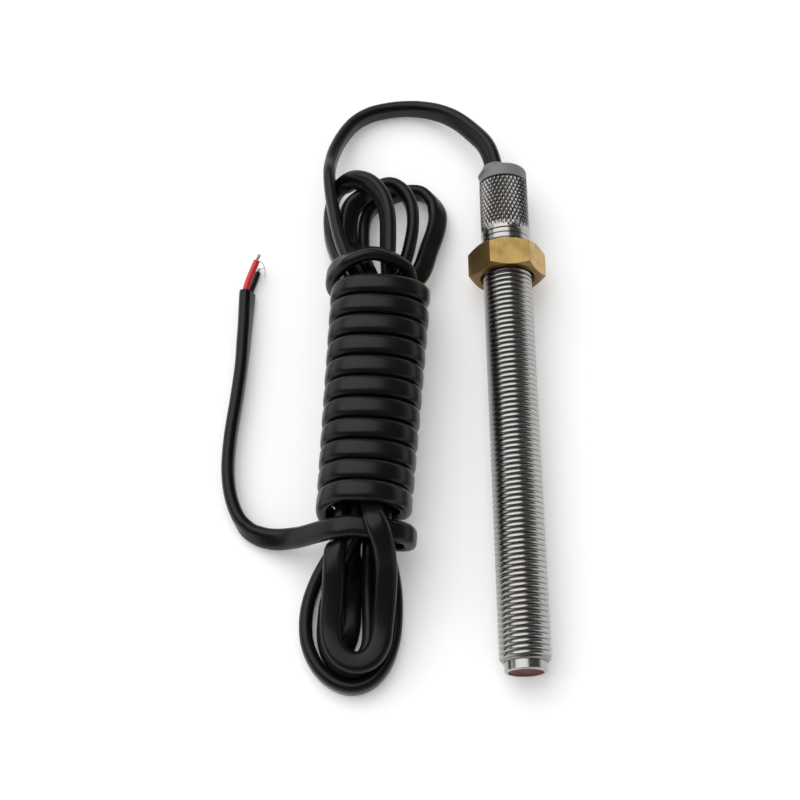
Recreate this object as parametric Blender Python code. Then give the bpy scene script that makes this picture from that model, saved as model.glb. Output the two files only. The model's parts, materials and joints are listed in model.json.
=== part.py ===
"""Magnetic speed sensor: a threaded steel barrel with a brass lock nut and a flat two-core cable.

The sensor lies on its back on a table, cap end towards +Y, sensing tip towards -Y.
Its nut and the end of its thread touch the table, so the barrel leans by a degree or so.
Lengths along the sensor are measured from the tip. All sizes are in metres.
"""
import math

import bmesh
import bpy
from mathutils import Euler, Matrix, Vector

# Room left between neighbouring solids
GAP = 0.0003

# Steel housing
THREAD_DIAMETER = 0.014
THREAD_PITCH = 0.0015
THREAD_DEPTH = 0.00085
THREAD_LENGTH = 0.1209
THREAD_CHAMFER = 0.0009
NOSE_LENGTH = 0.0026
NOSE_EDGE = 0.0003
PLAIN_LENGTH = 0.0047
PLAIN_GROOVE_DEPTH = 0.0003
PLAIN_GROOVE_WIDTH = 0.0005
PLAIN_GROOVE_STEP = 0.0017
KNURL_RAISE = 0.0001
KNURL_LENGTH = 0.0175
KNURL_CHAMFER = 0.0004
KNURL_DEPTH = 0.0004
KNURL_DIAMOND_WIDTH = 0.00131
KNURL_DIAMOND_LENGTH = 0.0026
REAR_BORE_DEPTH = 0.0125

# Sizes across the barrel, as shares of the thread's diameter
ACROSS = {
    "nose": 11.4 / 14.0,
    "bore": 9.6 / 14.0,
    "rear bore": 11.6 / 14.0,
    "pole": 3.0 / 14.0,
    "hub wall": 0.6 / 14.0,
    "magnet": 7.0 / 14.0,
    "board": 8.0 / 14.0,
    "pin spread": 4.4 / 14.0,
}

# Brass lock nut
NUT_ACROSS_FLATS = 0.0195
NUT_THICKNESS = 0.0086
NUT_CHAMFER_ANGLE = math.radians(30.0)
NUT_CHAMFER_RADIUS = 0.0096
NUT_BORE_CHAMFER = 0.0007

# Rear potting, with the raised collar that the cable leaves
CAP_LENGTH = 0.0040
CAP_EDGE_RADIUS = 0.0009
PLUG_LENGTH = 0.0120
COLLAR_HEIGHT = 0.0020
COLLAR_TOP_RADIUS = 0.0034
COLLAR_BASE_RADIUS = 0.0042
COLLAR_EDGE_RADIUS = 0.0007
COLLAR_UP_OFFSET = 0.0009

# Red face potting, set a little below the rim
FACE_RECESS = 0.0003
FACE_THICKNESS = 0.0013

# Pickup inside the tip
POLE_OVERHANG = 0.0030
POLE_HEAD_THICKNESS = 0.0020
BOBBIN_LENGTH = 0.0165
BOBBIN_FLANGE_THICKNESS = 0.0010
COIL_STEP = 0.0001
MAGNET_LENGTH = 0.0200
MAGNET_EDGE = 0.0003
BACK_PLATE_THICKNESS = 0.0025

# Terminal board behind the magnet
BOARD_LENGTH = 0.0130
BOARD_THICKNESS = 0.0010
BOARD_DROP = 0.0012
PIN_DIAMETER = 0.0009
PIN_HEIGHT = 0.0036
COIL_LEAD_DIAMETER = 0.0004

# Flat two-core cable
CABLE_WIDTH = 0.0060
CABLE_THICKNESS = 0.0036
CABLE_RUN_INSIDE = 0.0030
CABLE_STRAIGHT_OUTSIDE = 0.0022
CORE_DIAMETER = 0.0019
CORE_SPACING = 0.0023
STRAND_BUNDLE_DIAMETER = 0.0010
RED_CORE_STRIPPED = 0.0040
BLACK_CORE_STRIPPED = 0.0030
SLEEVE_WALL = 0.0003
SLEEVE_LENGTH = 0.0090
# Where each core inside the barrel changes course, as shares of its way from sleeve to jacket
INNER_CORE_SHARES = (0.06, 0.23, 0.43, 0.77, 0.94)

# Where the cable meets the hank and leaves it, on the table
LEAD_ROUTE = [
    (-0.0048, 0.0836, 0.0110),
    (-0.0086, 0.0900, 0.0087),
    (-0.0130, 0.0953, 0.0069),
    (-0.0176, 0.0988, 0.0054),
    (-0.0231, 0.1011, 0.0041),
    (-0.0287, 0.1019, 0.0034),
    (-0.0343, 0.1014, 0.0031),
    (-0.0393, 0.0999, 0.0032),
    (-0.0437, 0.0969, 0.0035),
    (-0.0472, 0.0920, 0.0043),
    (-0.0502, 0.0849, 0.0058),
    (-0.0514, 0.0788, 0.0075),
]
TAIL_ROUTE = [
    (-0.0567, -0.0371, 0.0083),
    (-0.0635, -0.0378, 0.0053),
    (-0.0695, -0.0371, 0.0036),
    (-0.0735, -0.0349, 0.0031),
    (-0.0764, -0.0312, 0.0031),
    (-0.0786, -0.0258, 0.0031),
    (-0.0798, -0.0180, 0.0031),
    (-0.0795, -0.0080, 0.0031),
    (-0.0780, 0.0045, 0.0031),
    (-0.0770, 0.0140, 0.0031),
    (-0.0763, 0.0250, 0.0031),
    (-0.0757, 0.0383, 0.0031),
]
# How far the flat side has turned from upright at the start of the tail, and where it is upright
TAIL_START_TURN = math.radians(80.0)
TAIL_TURN_LENGTH = 0.0170
ROUTE_STEP = 0.0060
CORE_STEP = 0.0015

# Cores that stand out of the stripped end
RED_CORE_ROUTE = [
    (-0.0759, 0.0388, 0.0042),
    (-0.0752, 0.0425, 0.0046),
    (-0.0742, 0.0462, 0.0050),
    (-0.0729, 0.0490, 0.0053),
]
BLACK_CORE_ROUTE = [
    (-0.0755, 0.0388, 0.0020),
    (-0.0745, 0.0420, 0.0017),
    (-0.0731, 0.0447, 0.0015),
    (-0.0716, 0.0470, 0.0013),
]

# Hank of cable: how wide it is to each side of its line, and how high, from its far end to its near end
HANK_SECTIONS = [
    # along, left edge, right edge, height
    (0.0775, -0.0536, -0.0375, 0.0110),
    (0.0755, -0.0540, -0.0290, 0.0122),
    (0.0725, -0.0543, -0.0225, 0.0134),
    (0.0680, -0.0545, -0.0185, 0.0146),
    (0.0610, -0.0546, -0.0166, 0.0164),
    (0.0530, -0.0545, -0.0172, 0.0196),
    (0.0460, -0.0540, -0.0188, 0.0235),
    (0.0400, -0.0525, -0.0205, 0.0250),
    (0.0320, -0.0512, -0.0220, 0.0242),
    (-0.0400, -0.0560, -0.0290, 0.0236),
    (-0.0460, -0.0565, -0.0300, 0.0222),
    (-0.0530, -0.0582, -0.0312, 0.0185),
    (-0.0620, -0.0600, -0.0318, 0.0145),
    (-0.0700, -0.0594, -0.0328, 0.0122),
    (-0.0765, -0.0564, -0.0350, 0.0104),
    (-0.0800, -0.0524, -0.0386, 0.0074),
    (-0.0815, -0.0480, -0.0415, 0.0056),
]
HANK_POINTS = 24
HANK_SQUARENESS = 0.8

# Facets around round pieces
BARREL_FACETS = 40
THREAD_FACETS = 18
SMALL_FACETS = 24
COLLAR_FACETS = 32
WIRE_RESOLUTION = 2
CABLE_RESOLUTION = 3

# Sizes worked out from the ones above
NOSE_DIAMETER = THREAD_DIAMETER * ACROSS["nose"]
BORE_DIAMETER = THREAD_DIAMETER * ACROSS["bore"]
REAR_BORE_DIAMETER = THREAD_DIAMETER * ACROSS["rear bore"]
KNURL_DIAMETER = THREAD_DIAMETER + 2.0 * KNURL_RAISE
CAP_DIAMETER = THREAD_DIAMETER
COLLAR_SIDE_OFFSET = COLLAR_BASE_RADIUS - CAP_DIAMETER / 2.0
POLE_DIAMETER = THREAD_DIAMETER * ACROSS["pole"]
BOBBIN_HUB_WALL = THREAD_DIAMETER * ACROSS["hub wall"]
MAGNET_DIAMETER = THREAD_DIAMETER * ACROSS["magnet"]
BOARD_WIDTH = THREAD_DIAMETER * ACROSS["board"]
PIN_SPREAD = THREAD_DIAMETER * ACROSS["pin spread"]
HOUSING_LENGTH = NOSE_LENGTH + THREAD_LENGTH + PLAIN_LENGTH + KNURL_LENGTH
CAP_START = HOUSING_LENGTH + GAP
CAP_END = CAP_START + CAP_LENGTH
SENSOR_LENGTH = CAP_END + COLLAR_HEIGHT
NUT_END = NOSE_LENGTH + THREAD_LENGTH
NUT_START = NUT_END - NUT_THICKNESS
NUT_BORE_DIAMETER = THREAD_DIAMETER + 2.0 * GAP
THREAD_TOUCH = NOSE_LENGTH + THREAD_CHAMFER
LEAN = math.asin((NUT_ACROSS_FLATS - THREAD_DIAMETER) / 2.0 / (NUT_START - THREAD_TOUCH))


def clear_scene():
    for old in list(bpy.data.objects):
        bpy.data.objects.remove(old, do_unlink=True)


def make_material(name, colour, roughness, metallic):
    material = bpy.data.materials.new(name)
    material.use_nodes = True
    shader = material.node_tree.nodes["Principled BSDF"]
    shader.inputs["Base Color"].default_value = (*colour, 1.0)
    shader.inputs["Roughness"].default_value = roughness
    shader.inputs["Metallic"].default_value = metallic
    return material


def finish_object(shape, material, smooth_angle=30.0):
    shape.data.materials.append(material)
    if shape.type == "MESH":
        shape.data.shade_smooth()
        shape.data.set_sharp_from_angle(angle=math.radians(smooth_angle))
    return shape


def object_from_bmesh(name, bm, material, parent=None):
    bmesh.ops.recalc_face_normals(bm, faces=bm.faces)
    mesh = bpy.data.meshes.new(name)
    bm.to_mesh(mesh)
    bm.free()
    shape = bpy.data.objects.new(name, mesh)
    bpy.context.scene.collection.objects.link(shape)
    shape.parent = parent
    return finish_object(shape, material)


def turned_bmesh(profile, facets, closed):
    """Spin a profile of (distance along the axis, radius) around Y."""
    bm = bmesh.new()
    corners = [bm.verts.new((radius, along, 0.0)) for along, radius in profile]
    edges = [bm.edges.new(pair) for pair in zip(corners, corners[1:])]
    if closed:
        edges.append(bm.edges.new((corners[-1], corners[0])))
    bmesh.ops.spin(
        bm,
        geom=corners + edges,
        cent=(0.0, 0.0, 0.0),
        axis=(0.0, 1.0, 0.0),
        angle=2.0 * math.pi,
        steps=facets,
        use_merge=True,
    )
    bmesh.ops.remove_doubles(bm, verts=bm.verts, dist=1e-7)
    return bm


def make_turned(name, profile, material, parent, facets=BARREL_FACETS, closed=False):
    return object_from_bmesh(name, turned_bmesh(profile, facets, closed), material, parent)


def rod_profile(start, end, radius, edge=0.0):
    """A solid rod from start to end, with its edges broken by edge."""
    if edge == 0.0:
        return [(start, 0.0), (start, radius), (end, radius), (end, 0.0)]
    return [
        (start, 0.0),
        (start, radius - edge),
        (start + edge, radius),
        (end - edge, radius),
        (end, radius - edge),
        (end, 0.0),
    ]


def tube_profile(start, end, inner, outer):
    return [(start, inner), (start, outer), (end, outer), (end, inner)]


def arc(centre_along, centre_radius, radius, from_angle, to_angle, steps):
    """Points of an arc in the (along, radius) plane, angles measured from the axis direction."""
    points = []
    for step in range(steps + 1):
        angle = from_angle + (to_angle - from_angle) * step / steps
        points.append((centre_along + radius * math.cos(angle), centre_radius + radius * math.sin(angle)))
    return points


def make_cutter(name, bm, parent):
    """A helper shape for a Boolean, hidden from renders."""
    bmesh.ops.recalc_face_normals(bm, faces=bm.faces)
    mesh = bpy.data.meshes.new(name)
    bm.to_mesh(mesh)
    bm.free()
    cutter = bpy.data.objects.new(name, mesh)
    bpy.context.scene.collection.objects.link(cutter)
    cutter.parent = parent
    cutter.hide_render = True
    cutter.display_type = "WIRE"
    return cutter


def add_boolean(shape, operation, cutter):
    boolean = shape.modifiers.new(operation.title(), "BOOLEAN")
    boolean.operation = operation
    boolean.solver = "EXACT"
    boolean.object = cutter


def make_sensor_axis():
    """The empty that carries the sensor: its Y runs along the barrel from the tip."""
    axis = bpy.data.objects.new("sensor_axis", None)
    bpy.context.scene.collection.objects.link(axis)
    touch_height = THREAD_DIAMETER / 2.0 * math.cos(LEAN) - THREAD_TOUCH * math.sin(LEAN)
    axis.location = (0.0, -SENSOR_LENGTH / 2.0 * math.cos(LEAN), touch_height)
    axis.rotation_euler = (LEAN, 0.0, 0.0)
    return axis


def world_from_sensor(x, along, up):
    """World place of a point given in the sensor's own frame."""
    touch_height = THREAD_DIAMETER / 2.0 * math.cos(LEAN) - THREAD_TOUCH * math.sin(LEAN)
    place = Vector((0.0, -SENSOR_LENGTH / 2.0 * math.cos(LEAN), touch_height))
    return place + Euler((LEAN, 0.0, 0.0)).to_matrix() @ Vector((x, along, up))


def add_ring(bm, along, radius, facets):
    """Corners of a circle round the axis. They run clockwise as seen from the tip, from the top."""
    ring = []
    for count in range(facets):
        angle = 2.0 * math.pi * count / facets
        ring.append(bm.verts.new((radius * math.sin(angle), along, radius * math.cos(angle))))
    return ring


def join_rings(bm, one, two):
    """Faces between two circles, which may have different numbers of corners."""
    if len(one) == len(two):
        for count in range(len(one)):
            after = (count + 1) % len(one)
            bm.faces.new((one[count], one[after], two[after], two[count]))
        return
    first, second = 0, 0
    while first < len(one) or second < len(two):
        corner_one, corner_two = one[first % len(one)], two[second % len(two)]
        if (first + 1) * len(two) <= (second + 1) * len(one):
            first += 1
            bm.faces.new((corner_one, one[first % len(one)], corner_two))
        else:
            second += 1
            bm.faces.new((corner_one, two[second % len(two)], corner_two))


def thread_corner(bm, start, end, turns, row, column):
    """A corner of the thread: even rows run along its crest, odd ones along its root."""
    travelled = row / 2.0 + column / THREAD_FACETS
    along = start + THREAD_PITCH * (travelled + 0.1)
    depth = 0.0
    if row % 2:
        depth = THREAD_DEPTH * min(1.0, travelled, max(0.0, turns + 1.0 - travelled))
    cone = THREAD_DIAMETER / 2.0 - THREAD_CHAMFER + (along - start)
    radius = min(THREAD_DIAMETER / 2.0 - depth, cone)
    angle = 2.0 * math.pi * column / THREAD_FACETS
    return bm.verts.new((radius * math.sin(angle), along, radius * math.cos(angle)))


def add_thread(bm, start, end):
    """A right-hand V thread between two circles. It deepens over its first turn and runs out over its last."""
    turns = int((end - start) / THREAD_PITCH - 1.3)
    columns = []
    for column in range(THREAD_FACETS):
        rows = 2 * turns + (3 if column == 0 else 1)
        columns.append([thread_corner(bm, start, end, turns, row, column) for row in range(rows)])
    first = add_ring(bm, start, THREAD_DIAMETER / 2.0 - THREAD_CHAMFER, THREAD_FACETS)
    last = add_ring(bm, end, THREAD_DIAMETER / 2.0, THREAD_FACETS)
    final = 2 * turns
    for column in range(THREAD_FACETS):
        here = columns[column]
        wraps = column == THREAD_FACETS - 1
        beside = columns[0][2:] if wraps else columns[column + 1]
        after = 0 if wraps else column + 1
        for row in range(final):
            bm.faces.new((here[row], here[row + 1], beside[row + 1], beside[row]))
        if wraps:
            bm.faces.new((first[column], here[0], beside[0], columns[0][1], columns[0][0], first[0]))
        else:
            bm.faces.new((first[column], here[0], beside[0], first[after]))
        if column == 0:
            bm.faces.new((here[final], here[final + 1], here[final + 2], last[0], last[1], beside[final]))
        else:
            bm.faces.new((here[final], last[column], last[after], beside[final]))
    return first, last


def add_knurl(bm, start, end):
    """Rows of four-sided points. The grooves between them cross along two sets of helices."""
    radius = KNURL_DIAMETER / 2.0
    diamonds = round(math.pi * KNURL_DIAMETER / KNURL_DIAMOND_WIDTH)
    steps = max(2, round((end - start) / (KNURL_DIAMOND_LENGTH / 2.0)))
    facets = 2 * diamonds
    rings = []
    for step in range(steps + 1):
        along = start + (end - start) * step / steps
        ring = []
        for count in range(facets):
            reach = radius if (step + count) % 2 == 0 else radius - KNURL_DEPTH
            angle = 2.0 * math.pi * count / facets
            ring.append(bm.verts.new((reach * math.sin(angle), along, reach * math.cos(angle))))
        rings.append(ring)
    for step in range(steps):
        one, two = rings[step], rings[step + 1]
        for count in range(facets):
            after = (count + 1) % facets
            if (step + count) % 2 == 0:
                bm.faces.new((one[count], one[after], two[count]))
                bm.faces.new((one[after], two[after], two[count]))
            else:
                bm.faces.new((one[count], one[after], two[after]))
                bm.faces.new((one[count], two[after], two[count]))
    return rings[0], rings[-1]


def make_housing(axis, steel):
    """Nose, thread, plain band with two grooves, knurl and stepped bore, as one turned piece."""
    nose = NOSE_DIAMETER / 2.0
    plain = THREAD_DIAMETER / 2.0
    knurl = KNURL_DIAMETER / 2.0
    thread_end = NOSE_LENGTH + THREAD_LENGTH
    knurl_start = thread_end + PLAIN_LENGTH
    rear_bore = HOUSING_LENGTH - REAR_BORE_DEPTH
    bm = bmesh.new()

    def rings(profile):
        return [add_ring(bm, along, radius, BARREL_FACETS) for along, radius in profile]

    nose_rings = rings([(0.0, nose - NOSE_EDGE), (NOSE_EDGE, nose), (NOSE_LENGTH, nose)])
    thread_first, thread_last = add_thread(bm, NOSE_LENGTH, thread_end)
    band = []
    for count in (1, 2):
        middle = thread_end + PLAIN_GROOVE_STEP * count
        band += [
            (middle - PLAIN_GROOVE_WIDTH / 2.0, plain),
            (middle, plain - PLAIN_GROOVE_DEPTH),
            (middle + PLAIN_GROOVE_WIDTH / 2.0, plain),
        ]
    band_rings = rings(band + [(knurl_start, plain - KNURL_CHAMFER)])
    knurl_first, knurl_last = add_knurl(bm, knurl_start + KNURL_CHAMFER, HOUSING_LENGTH - KNURL_CHAMFER)
    end_rings = rings([
        (HOUSING_LENGTH, knurl - KNURL_CHAMFER - KNURL_DEPTH),
        (HOUSING_LENGTH, REAR_BORE_DIAMETER / 2.0),
        (rear_bore, REAR_BORE_DIAMETER / 2.0),
        (rear_bore, BORE_DIAMETER / 2.0),
        (0.0, BORE_DIAMETER / 2.0),
    ])
    for chain in (
        nose_rings + [thread_first],
        [thread_last] + band_rings + [knurl_first],
        [knurl_last] + end_rings + [nose_rings[0]],
    ):
        for one, two in zip(chain, chain[1:]):
            join_rings(bm, one, two)
    return object_from_bmesh("housing_barrel", bm, steel, axis)


def make_lock_nut(axis, brass):
    """A hexagon with a flat on top, cut back at its corners by a cone at each face."""
    bm = bmesh.new()
    corner = NUT_ACROSS_FLATS / math.sqrt(3.0)
    ring = []
    for count in range(6):
        angle = math.radians(60.0 * count)
        ring.append(bm.verts.new((corner * math.cos(angle), NUT_START, corner * math.sin(angle))))
    face = bm.faces.new(ring)
    moved = bmesh.ops.extrude_face_region(bm, geom=[face])["geom"]
    bmesh.ops.translate(
        bm,
        verts=[item for item in moved if isinstance(item, bmesh.types.BMVert)],
        vec=(0.0, NUT_THICKNESS, 0.0),
    )
    nut = object_from_bmesh("lock_nut", bm, brass, axis)

    reach = corner * 1.2
    slope = (reach - NUT_CHAMFER_RADIUS) * math.tan(NUT_CHAMFER_ANGLE)
    envelope = [
        (NUT_START, 0.0),
        (NUT_START, NUT_CHAMFER_RADIUS),
        (NUT_START + slope, reach),
        (NUT_END - slope, reach),
        (NUT_END, NUT_CHAMFER_RADIUS),
        (NUT_END, 0.0),
    ]
    chamfer = make_cutter("nut_chamfer_cone", turned_bmesh(envelope, BARREL_FACETS, False), axis)
    add_boolean(nut, "INTERSECT", chamfer)

    bore = NUT_BORE_DIAMETER / 2.0
    mouth = bore + NUT_BORE_CHAMFER
    beyond = 2.0 * NUT_BORE_CHAMFER
    hole = [
        (NUT_START - beyond, 0.0),
        (NUT_START - beyond, mouth),
        (NUT_START, mouth),
        (NUT_START + NUT_BORE_CHAMFER, bore),
        (NUT_END - NUT_BORE_CHAMFER, bore),
        (NUT_END, mouth),
        (NUT_END + beyond, mouth),
        (NUT_END + beyond, 0.0),
    ]
    cutter = make_cutter("nut_bore_cutter", turned_bmesh(hole, BARREL_FACETS, False), axis)
    add_boolean(nut, "DIFFERENCE", cutter)
    return nut


def cable_line():
    """Start and direction of the straight stretch of cable through the potting, in the sensor's frame."""
    mouth = Vector((COLLAR_SIDE_OFFSET, SENSOR_LENGTH, COLLAR_UP_OFFSET))
    start = Vector((0.0, CAP_START - PLUG_LENGTH, 0.0))
    return start, (mouth - start).normalized(), mouth


def flat_section(width, thickness, points_per_end=8):
    """Outline of a flat cable: two half circles joined by straight sides, width upright."""
    radius = thickness / 2.0
    shift = (width - thickness) / 2.0
    outline = []
    for centre, first in ((shift, 0.0), (-shift, math.pi)):
        for step in range(points_per_end + 1):
            angle = first + math.pi * step / points_per_end
            outline.append((radius * math.cos(angle), centre + radius * math.sin(angle)))
    return outline


def make_rear_potting(axis, grey):
    radius = CAP_DIAMETER / 2.0
    plug = REAR_BORE_DIAMETER / 2.0 - GAP
    profile = [
        (CAP_START - PLUG_LENGTH, 0.0),
        (CAP_START - PLUG_LENGTH, plug),
        (CAP_START, plug),
        (CAP_START, radius),
    ]
    profile += arc(CAP_END - CAP_EDGE_RADIUS, radius - CAP_EDGE_RADIUS, CAP_EDGE_RADIUS, math.pi / 2.0, 0.0, 4)
    profile.append((CAP_END, 0.0))
    cap = make_turned("rear_potting_cap", profile, grey, axis)

    start, direction, mouth = cable_line()
    turn = Vector((0.0, 1.0, 0.0)).rotation_difference(direction).to_matrix().to_4x4()
    collar_length = CAP_LENGTH / 2.0 + COLLAR_HEIGHT
    collar_profile = [(-collar_length, 0.0), (-collar_length, COLLAR_BASE_RADIUS)]
    collar_profile += arc(
        -COLLAR_EDGE_RADIUS,
        COLLAR_TOP_RADIUS - COLLAR_EDGE_RADIUS,
        COLLAR_EDGE_RADIUS,
        math.pi / 2.0,
        0.0,
        4,
    )
    collar_profile.append((0.0, 0.0))
    bm = turned_bmesh(collar_profile, COLLAR_FACETS, False)
    bmesh.ops.transform(bm, matrix=Matrix.Translation(mouth) @ turn, verts=bm.verts)
    add_boolean(cap, "UNION", make_cutter("collar_form", bm, axis))

    bm = bmesh.new()
    beyond = 0.004
    outline = flat_section(CABLE_WIDTH + 2.0 * GAP, CABLE_THICKNESS + 2.0 * GAP)
    ring = [bm.verts.new((x, 0.0, up)) for x, up in outline]
    face = bm.faces.new(ring)
    length = (mouth - start).length + 2.0 * beyond
    moved = bmesh.ops.extrude_face_region(bm, geom=[face])["geom"]
    bmesh.ops.translate(
        bm,
        verts=[item for item in moved if isinstance(item, bmesh.types.BMVert)],
        vec=(0.0, length, 0.0),
    )
    bmesh.ops.transform(bm, matrix=Matrix.Translation(start - direction * beyond) @ turn, verts=bm.verts)
    add_boolean(cap, "DIFFERENCE", make_cutter("cable_slot", bm, axis))
    return cap


def make_face_potting(axis, red):
    radius = BORE_DIAMETER / 2.0 - GAP
    profile = rod_profile(FACE_RECESS, FACE_RECESS + FACE_THICKNESS, radius)
    return make_turned("face_potting", profile, red, axis)


def make_pickup(axis, iron, nylon, copper, magnet_grey):
    """Pole piece, bobbin, coil, magnet and back plate, in line behind the red face."""
    front = FACE_RECESS + FACE_THICKNESS + GAP
    pole = POLE_DIAMETER / 2.0
    bobbin_end = front + BOBBIN_LENGTH
    head_start = bobbin_end + POLE_OVERHANG
    head_end = head_start + POLE_HEAD_THICKNESS
    pole_profile = [
        (front, 0.0),
        (front, pole),
        (head_start, pole),
        (head_start, MAGNET_DIAMETER / 2.0),
        (head_end, MAGNET_DIAMETER / 2.0),
        (head_end, 0.0),
    ]
    make_turned("pole_piece", pole_profile, iron, axis, facets=SMALL_FACETS)

    hole = pole + GAP
    hub = hole + BOBBIN_HUB_WALL
    flange = BORE_DIAMETER / 2.0 - GAP
    inner_start = front + BOBBIN_FLANGE_THICKNESS
    inner_end = bobbin_end - BOBBIN_FLANGE_THICKNESS
    bobbin_profile = [
        (front, hole),
        (front, flange),
        (inner_start, flange),
        (inner_start, hub),
        (inner_end, hub),
        (inner_end, flange),
        (bobbin_end, flange),
        (bobbin_end, hole),
    ]
    make_turned("bobbin", bobbin_profile, nylon, axis, facets=SMALL_FACETS, closed=True)

    coil = tube_profile(inner_start + GAP, inner_end - GAP, hub + GAP, flange - COIL_STEP)
    make_turned("coil_winding", coil, copper, axis, facets=SMALL_FACETS, closed=True)

    magnet_start = head_end + GAP
    magnet_end = magnet_start + MAGNET_LENGTH
    magnet = rod_profile(magnet_start, magnet_end, MAGNET_DIAMETER / 2.0, MAGNET_EDGE)
    make_turned("bar_magnet", magnet, magnet_grey, axis, facets=SMALL_FACETS)

    plate_start = magnet_end + GAP
    plate_end = plate_start + BACK_PLATE_THICKNESS
    plate = rod_profile(plate_start, plate_end, MAGNET_DIAMETER / 2.0, MAGNET_EDGE)
    make_turned("back_plate", plate, iron, axis, facets=SMALL_FACETS)
    return bobbin_end, plate_end


def make_wire(name, points, diameter, material, parent=None, resolution=WIRE_RESOLUTION):
    curve = bpy.data.curves.new(name, "CURVE")
    curve.dimensions = "3D"
    curve.bevel_depth = diameter / 2.0
    curve.bevel_resolution = resolution
    curve.use_fill_caps = True
    curve.render_resolution_u = 0
    spline = curve.splines.new("POLY")
    spline.points.add(len(points) - 1)
    for point, place in zip(spline.points, points):
        point.co = (*place, 1.0)
    wire = bpy.data.objects.new(name, curve)
    bpy.context.scene.collection.objects.link(wire)
    wire.parent = parent
    curve.materials.append(material)
    return wire


def smooth_route(points, step):
    """Even steps along a smooth curve through the given points."""
    knots = [Vector(point) for point in points]
    knots = [knots[0] * 2.0 - knots[1]] + knots + [knots[-1] * 2.0 - knots[-2]]
    fine = []
    for before, start, end, after in zip(knots, knots[1:], knots[2:], knots[3:]):
        for count in range(24):
            t = count / 24.0
            leaving = (end - before) * 0.5
            arriving = (after - start) * 0.5
            fine.append(
                start * (2.0 * t**3 - 3.0 * t**2 + 1.0)
                + leaving * (t**3 - 2.0 * t**2 + t)
                + end * (3.0 * t**2 - 2.0 * t**3)
                + arriving * (t**3 - t**2)
            )
    fine.append(knots[-2])
    travelled = [0.0]
    for one, two in zip(fine, fine[1:]):
        travelled.append(travelled[-1] + (two - one).length)
    pieces = max(2, round(travelled[-1] / step))
    route = []
    index = 0
    for count in range(pieces + 1):
        target = travelled[-1] * count / pieces
        while index < len(fine) - 2 and travelled[index + 1] < target:
            index += 1
        span = travelled[index + 1] - travelled[index]
        share = min(1.0, max(0.0, (target - travelled[index]) / span))
        route.append(fine[index].lerp(fine[index + 1], share))
    return route


def make_flat_cable(name, points, turns, material):
    """A flat cable on a route. A turn of 0 keeps its width upright."""
    cable = make_wire(name, points, CABLE_THICKNESS, material, resolution=CABLE_RESOLUTION)
    cable.data.extrude = (CABLE_WIDTH - CABLE_THICKNESS) / 2.0
    cable.data.twist_mode = "Z_UP"
    for point, turn in zip(cable.data.splines[0].points, turns):
        point.tilt = turn
    return cable


def make_terminals(axis, plate_end, bobbin_end, board_green, tin, copper):
    """Board, its two pins, and the coil's two fine leads that run back beside the magnet."""
    board_start = plate_end + GAP
    pin_along = board_start + BOARD_LENGTH * 0.3
    bm = bmesh.new()
    bmesh.ops.create_cube(bm, size=1.0)
    bmesh.ops.scale(bm, vec=(BOARD_WIDTH, BOARD_LENGTH, BOARD_THICKNESS), verts=bm.verts)
    bmesh.ops.translate(bm, vec=(0.0, board_start + BOARD_LENGTH / 2.0, -BOARD_DROP), verts=bm.verts)
    board = object_from_bmesh("terminal_board", bm, board_green, axis)

    for side, suffix in ((-1.0, "red"), (1.0, "black")):
        x = side * PIN_SPREAD / 2.0
        bm = bmesh.new()
        bmesh.ops.create_cone(
            bm,
            cap_ends=True,
            segments=20,
            radius1=PIN_DIAMETER / 2.0 + GAP,
            radius2=PIN_DIAMETER / 2.0 + GAP,
            depth=4.0 * BOARD_THICKNESS,
        )
        bmesh.ops.translate(bm, vec=(x, pin_along, -BOARD_DROP), verts=bm.verts)
        add_boolean(board, "DIFFERENCE", make_cutter("pin_hole_" + suffix, bm, axis))

        bm = bmesh.new()
        bmesh.ops.create_cone(
            bm,
            cap_ends=True,
            segments=20,
            radius1=PIN_DIAMETER / 2.0,
            radius2=PIN_DIAMETER / 2.0,
            depth=PIN_HEIGHT,
        )
        bmesh.ops.translate(bm, vec=(x, pin_along, -BOARD_DROP), verts=bm.verts)
        object_from_bmesh("terminal_pin_" + suffix, bm, tin, axis)

        wire = COIL_LEAD_DIAMETER
        beside_magnet = MAGNET_DIAMETER / 2.0 + GAP + wire / 2.0
        under_board = -(BOARD_DROP + BOARD_THICKNESS / 2.0 + GAP + wire / 2.0)
        lead_route = [
            (side * beside_magnet, bobbin_end + GAP, 0.0),
            (side * beside_magnet, plate_end - BACK_PLATE_THICKNESS / 2.0, 0.0),
            (side * MAGNET_DIAMETER / 2.0, board_start - GAP, under_board),
            (x + side * (PIN_DIAMETER / 2.0 + GAP + wire / 2.0), pin_along, under_board),
        ]
        make_wire("coil_lead_" + suffix, lead_route, wire, copper, axis)
    return board_start, pin_along


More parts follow.
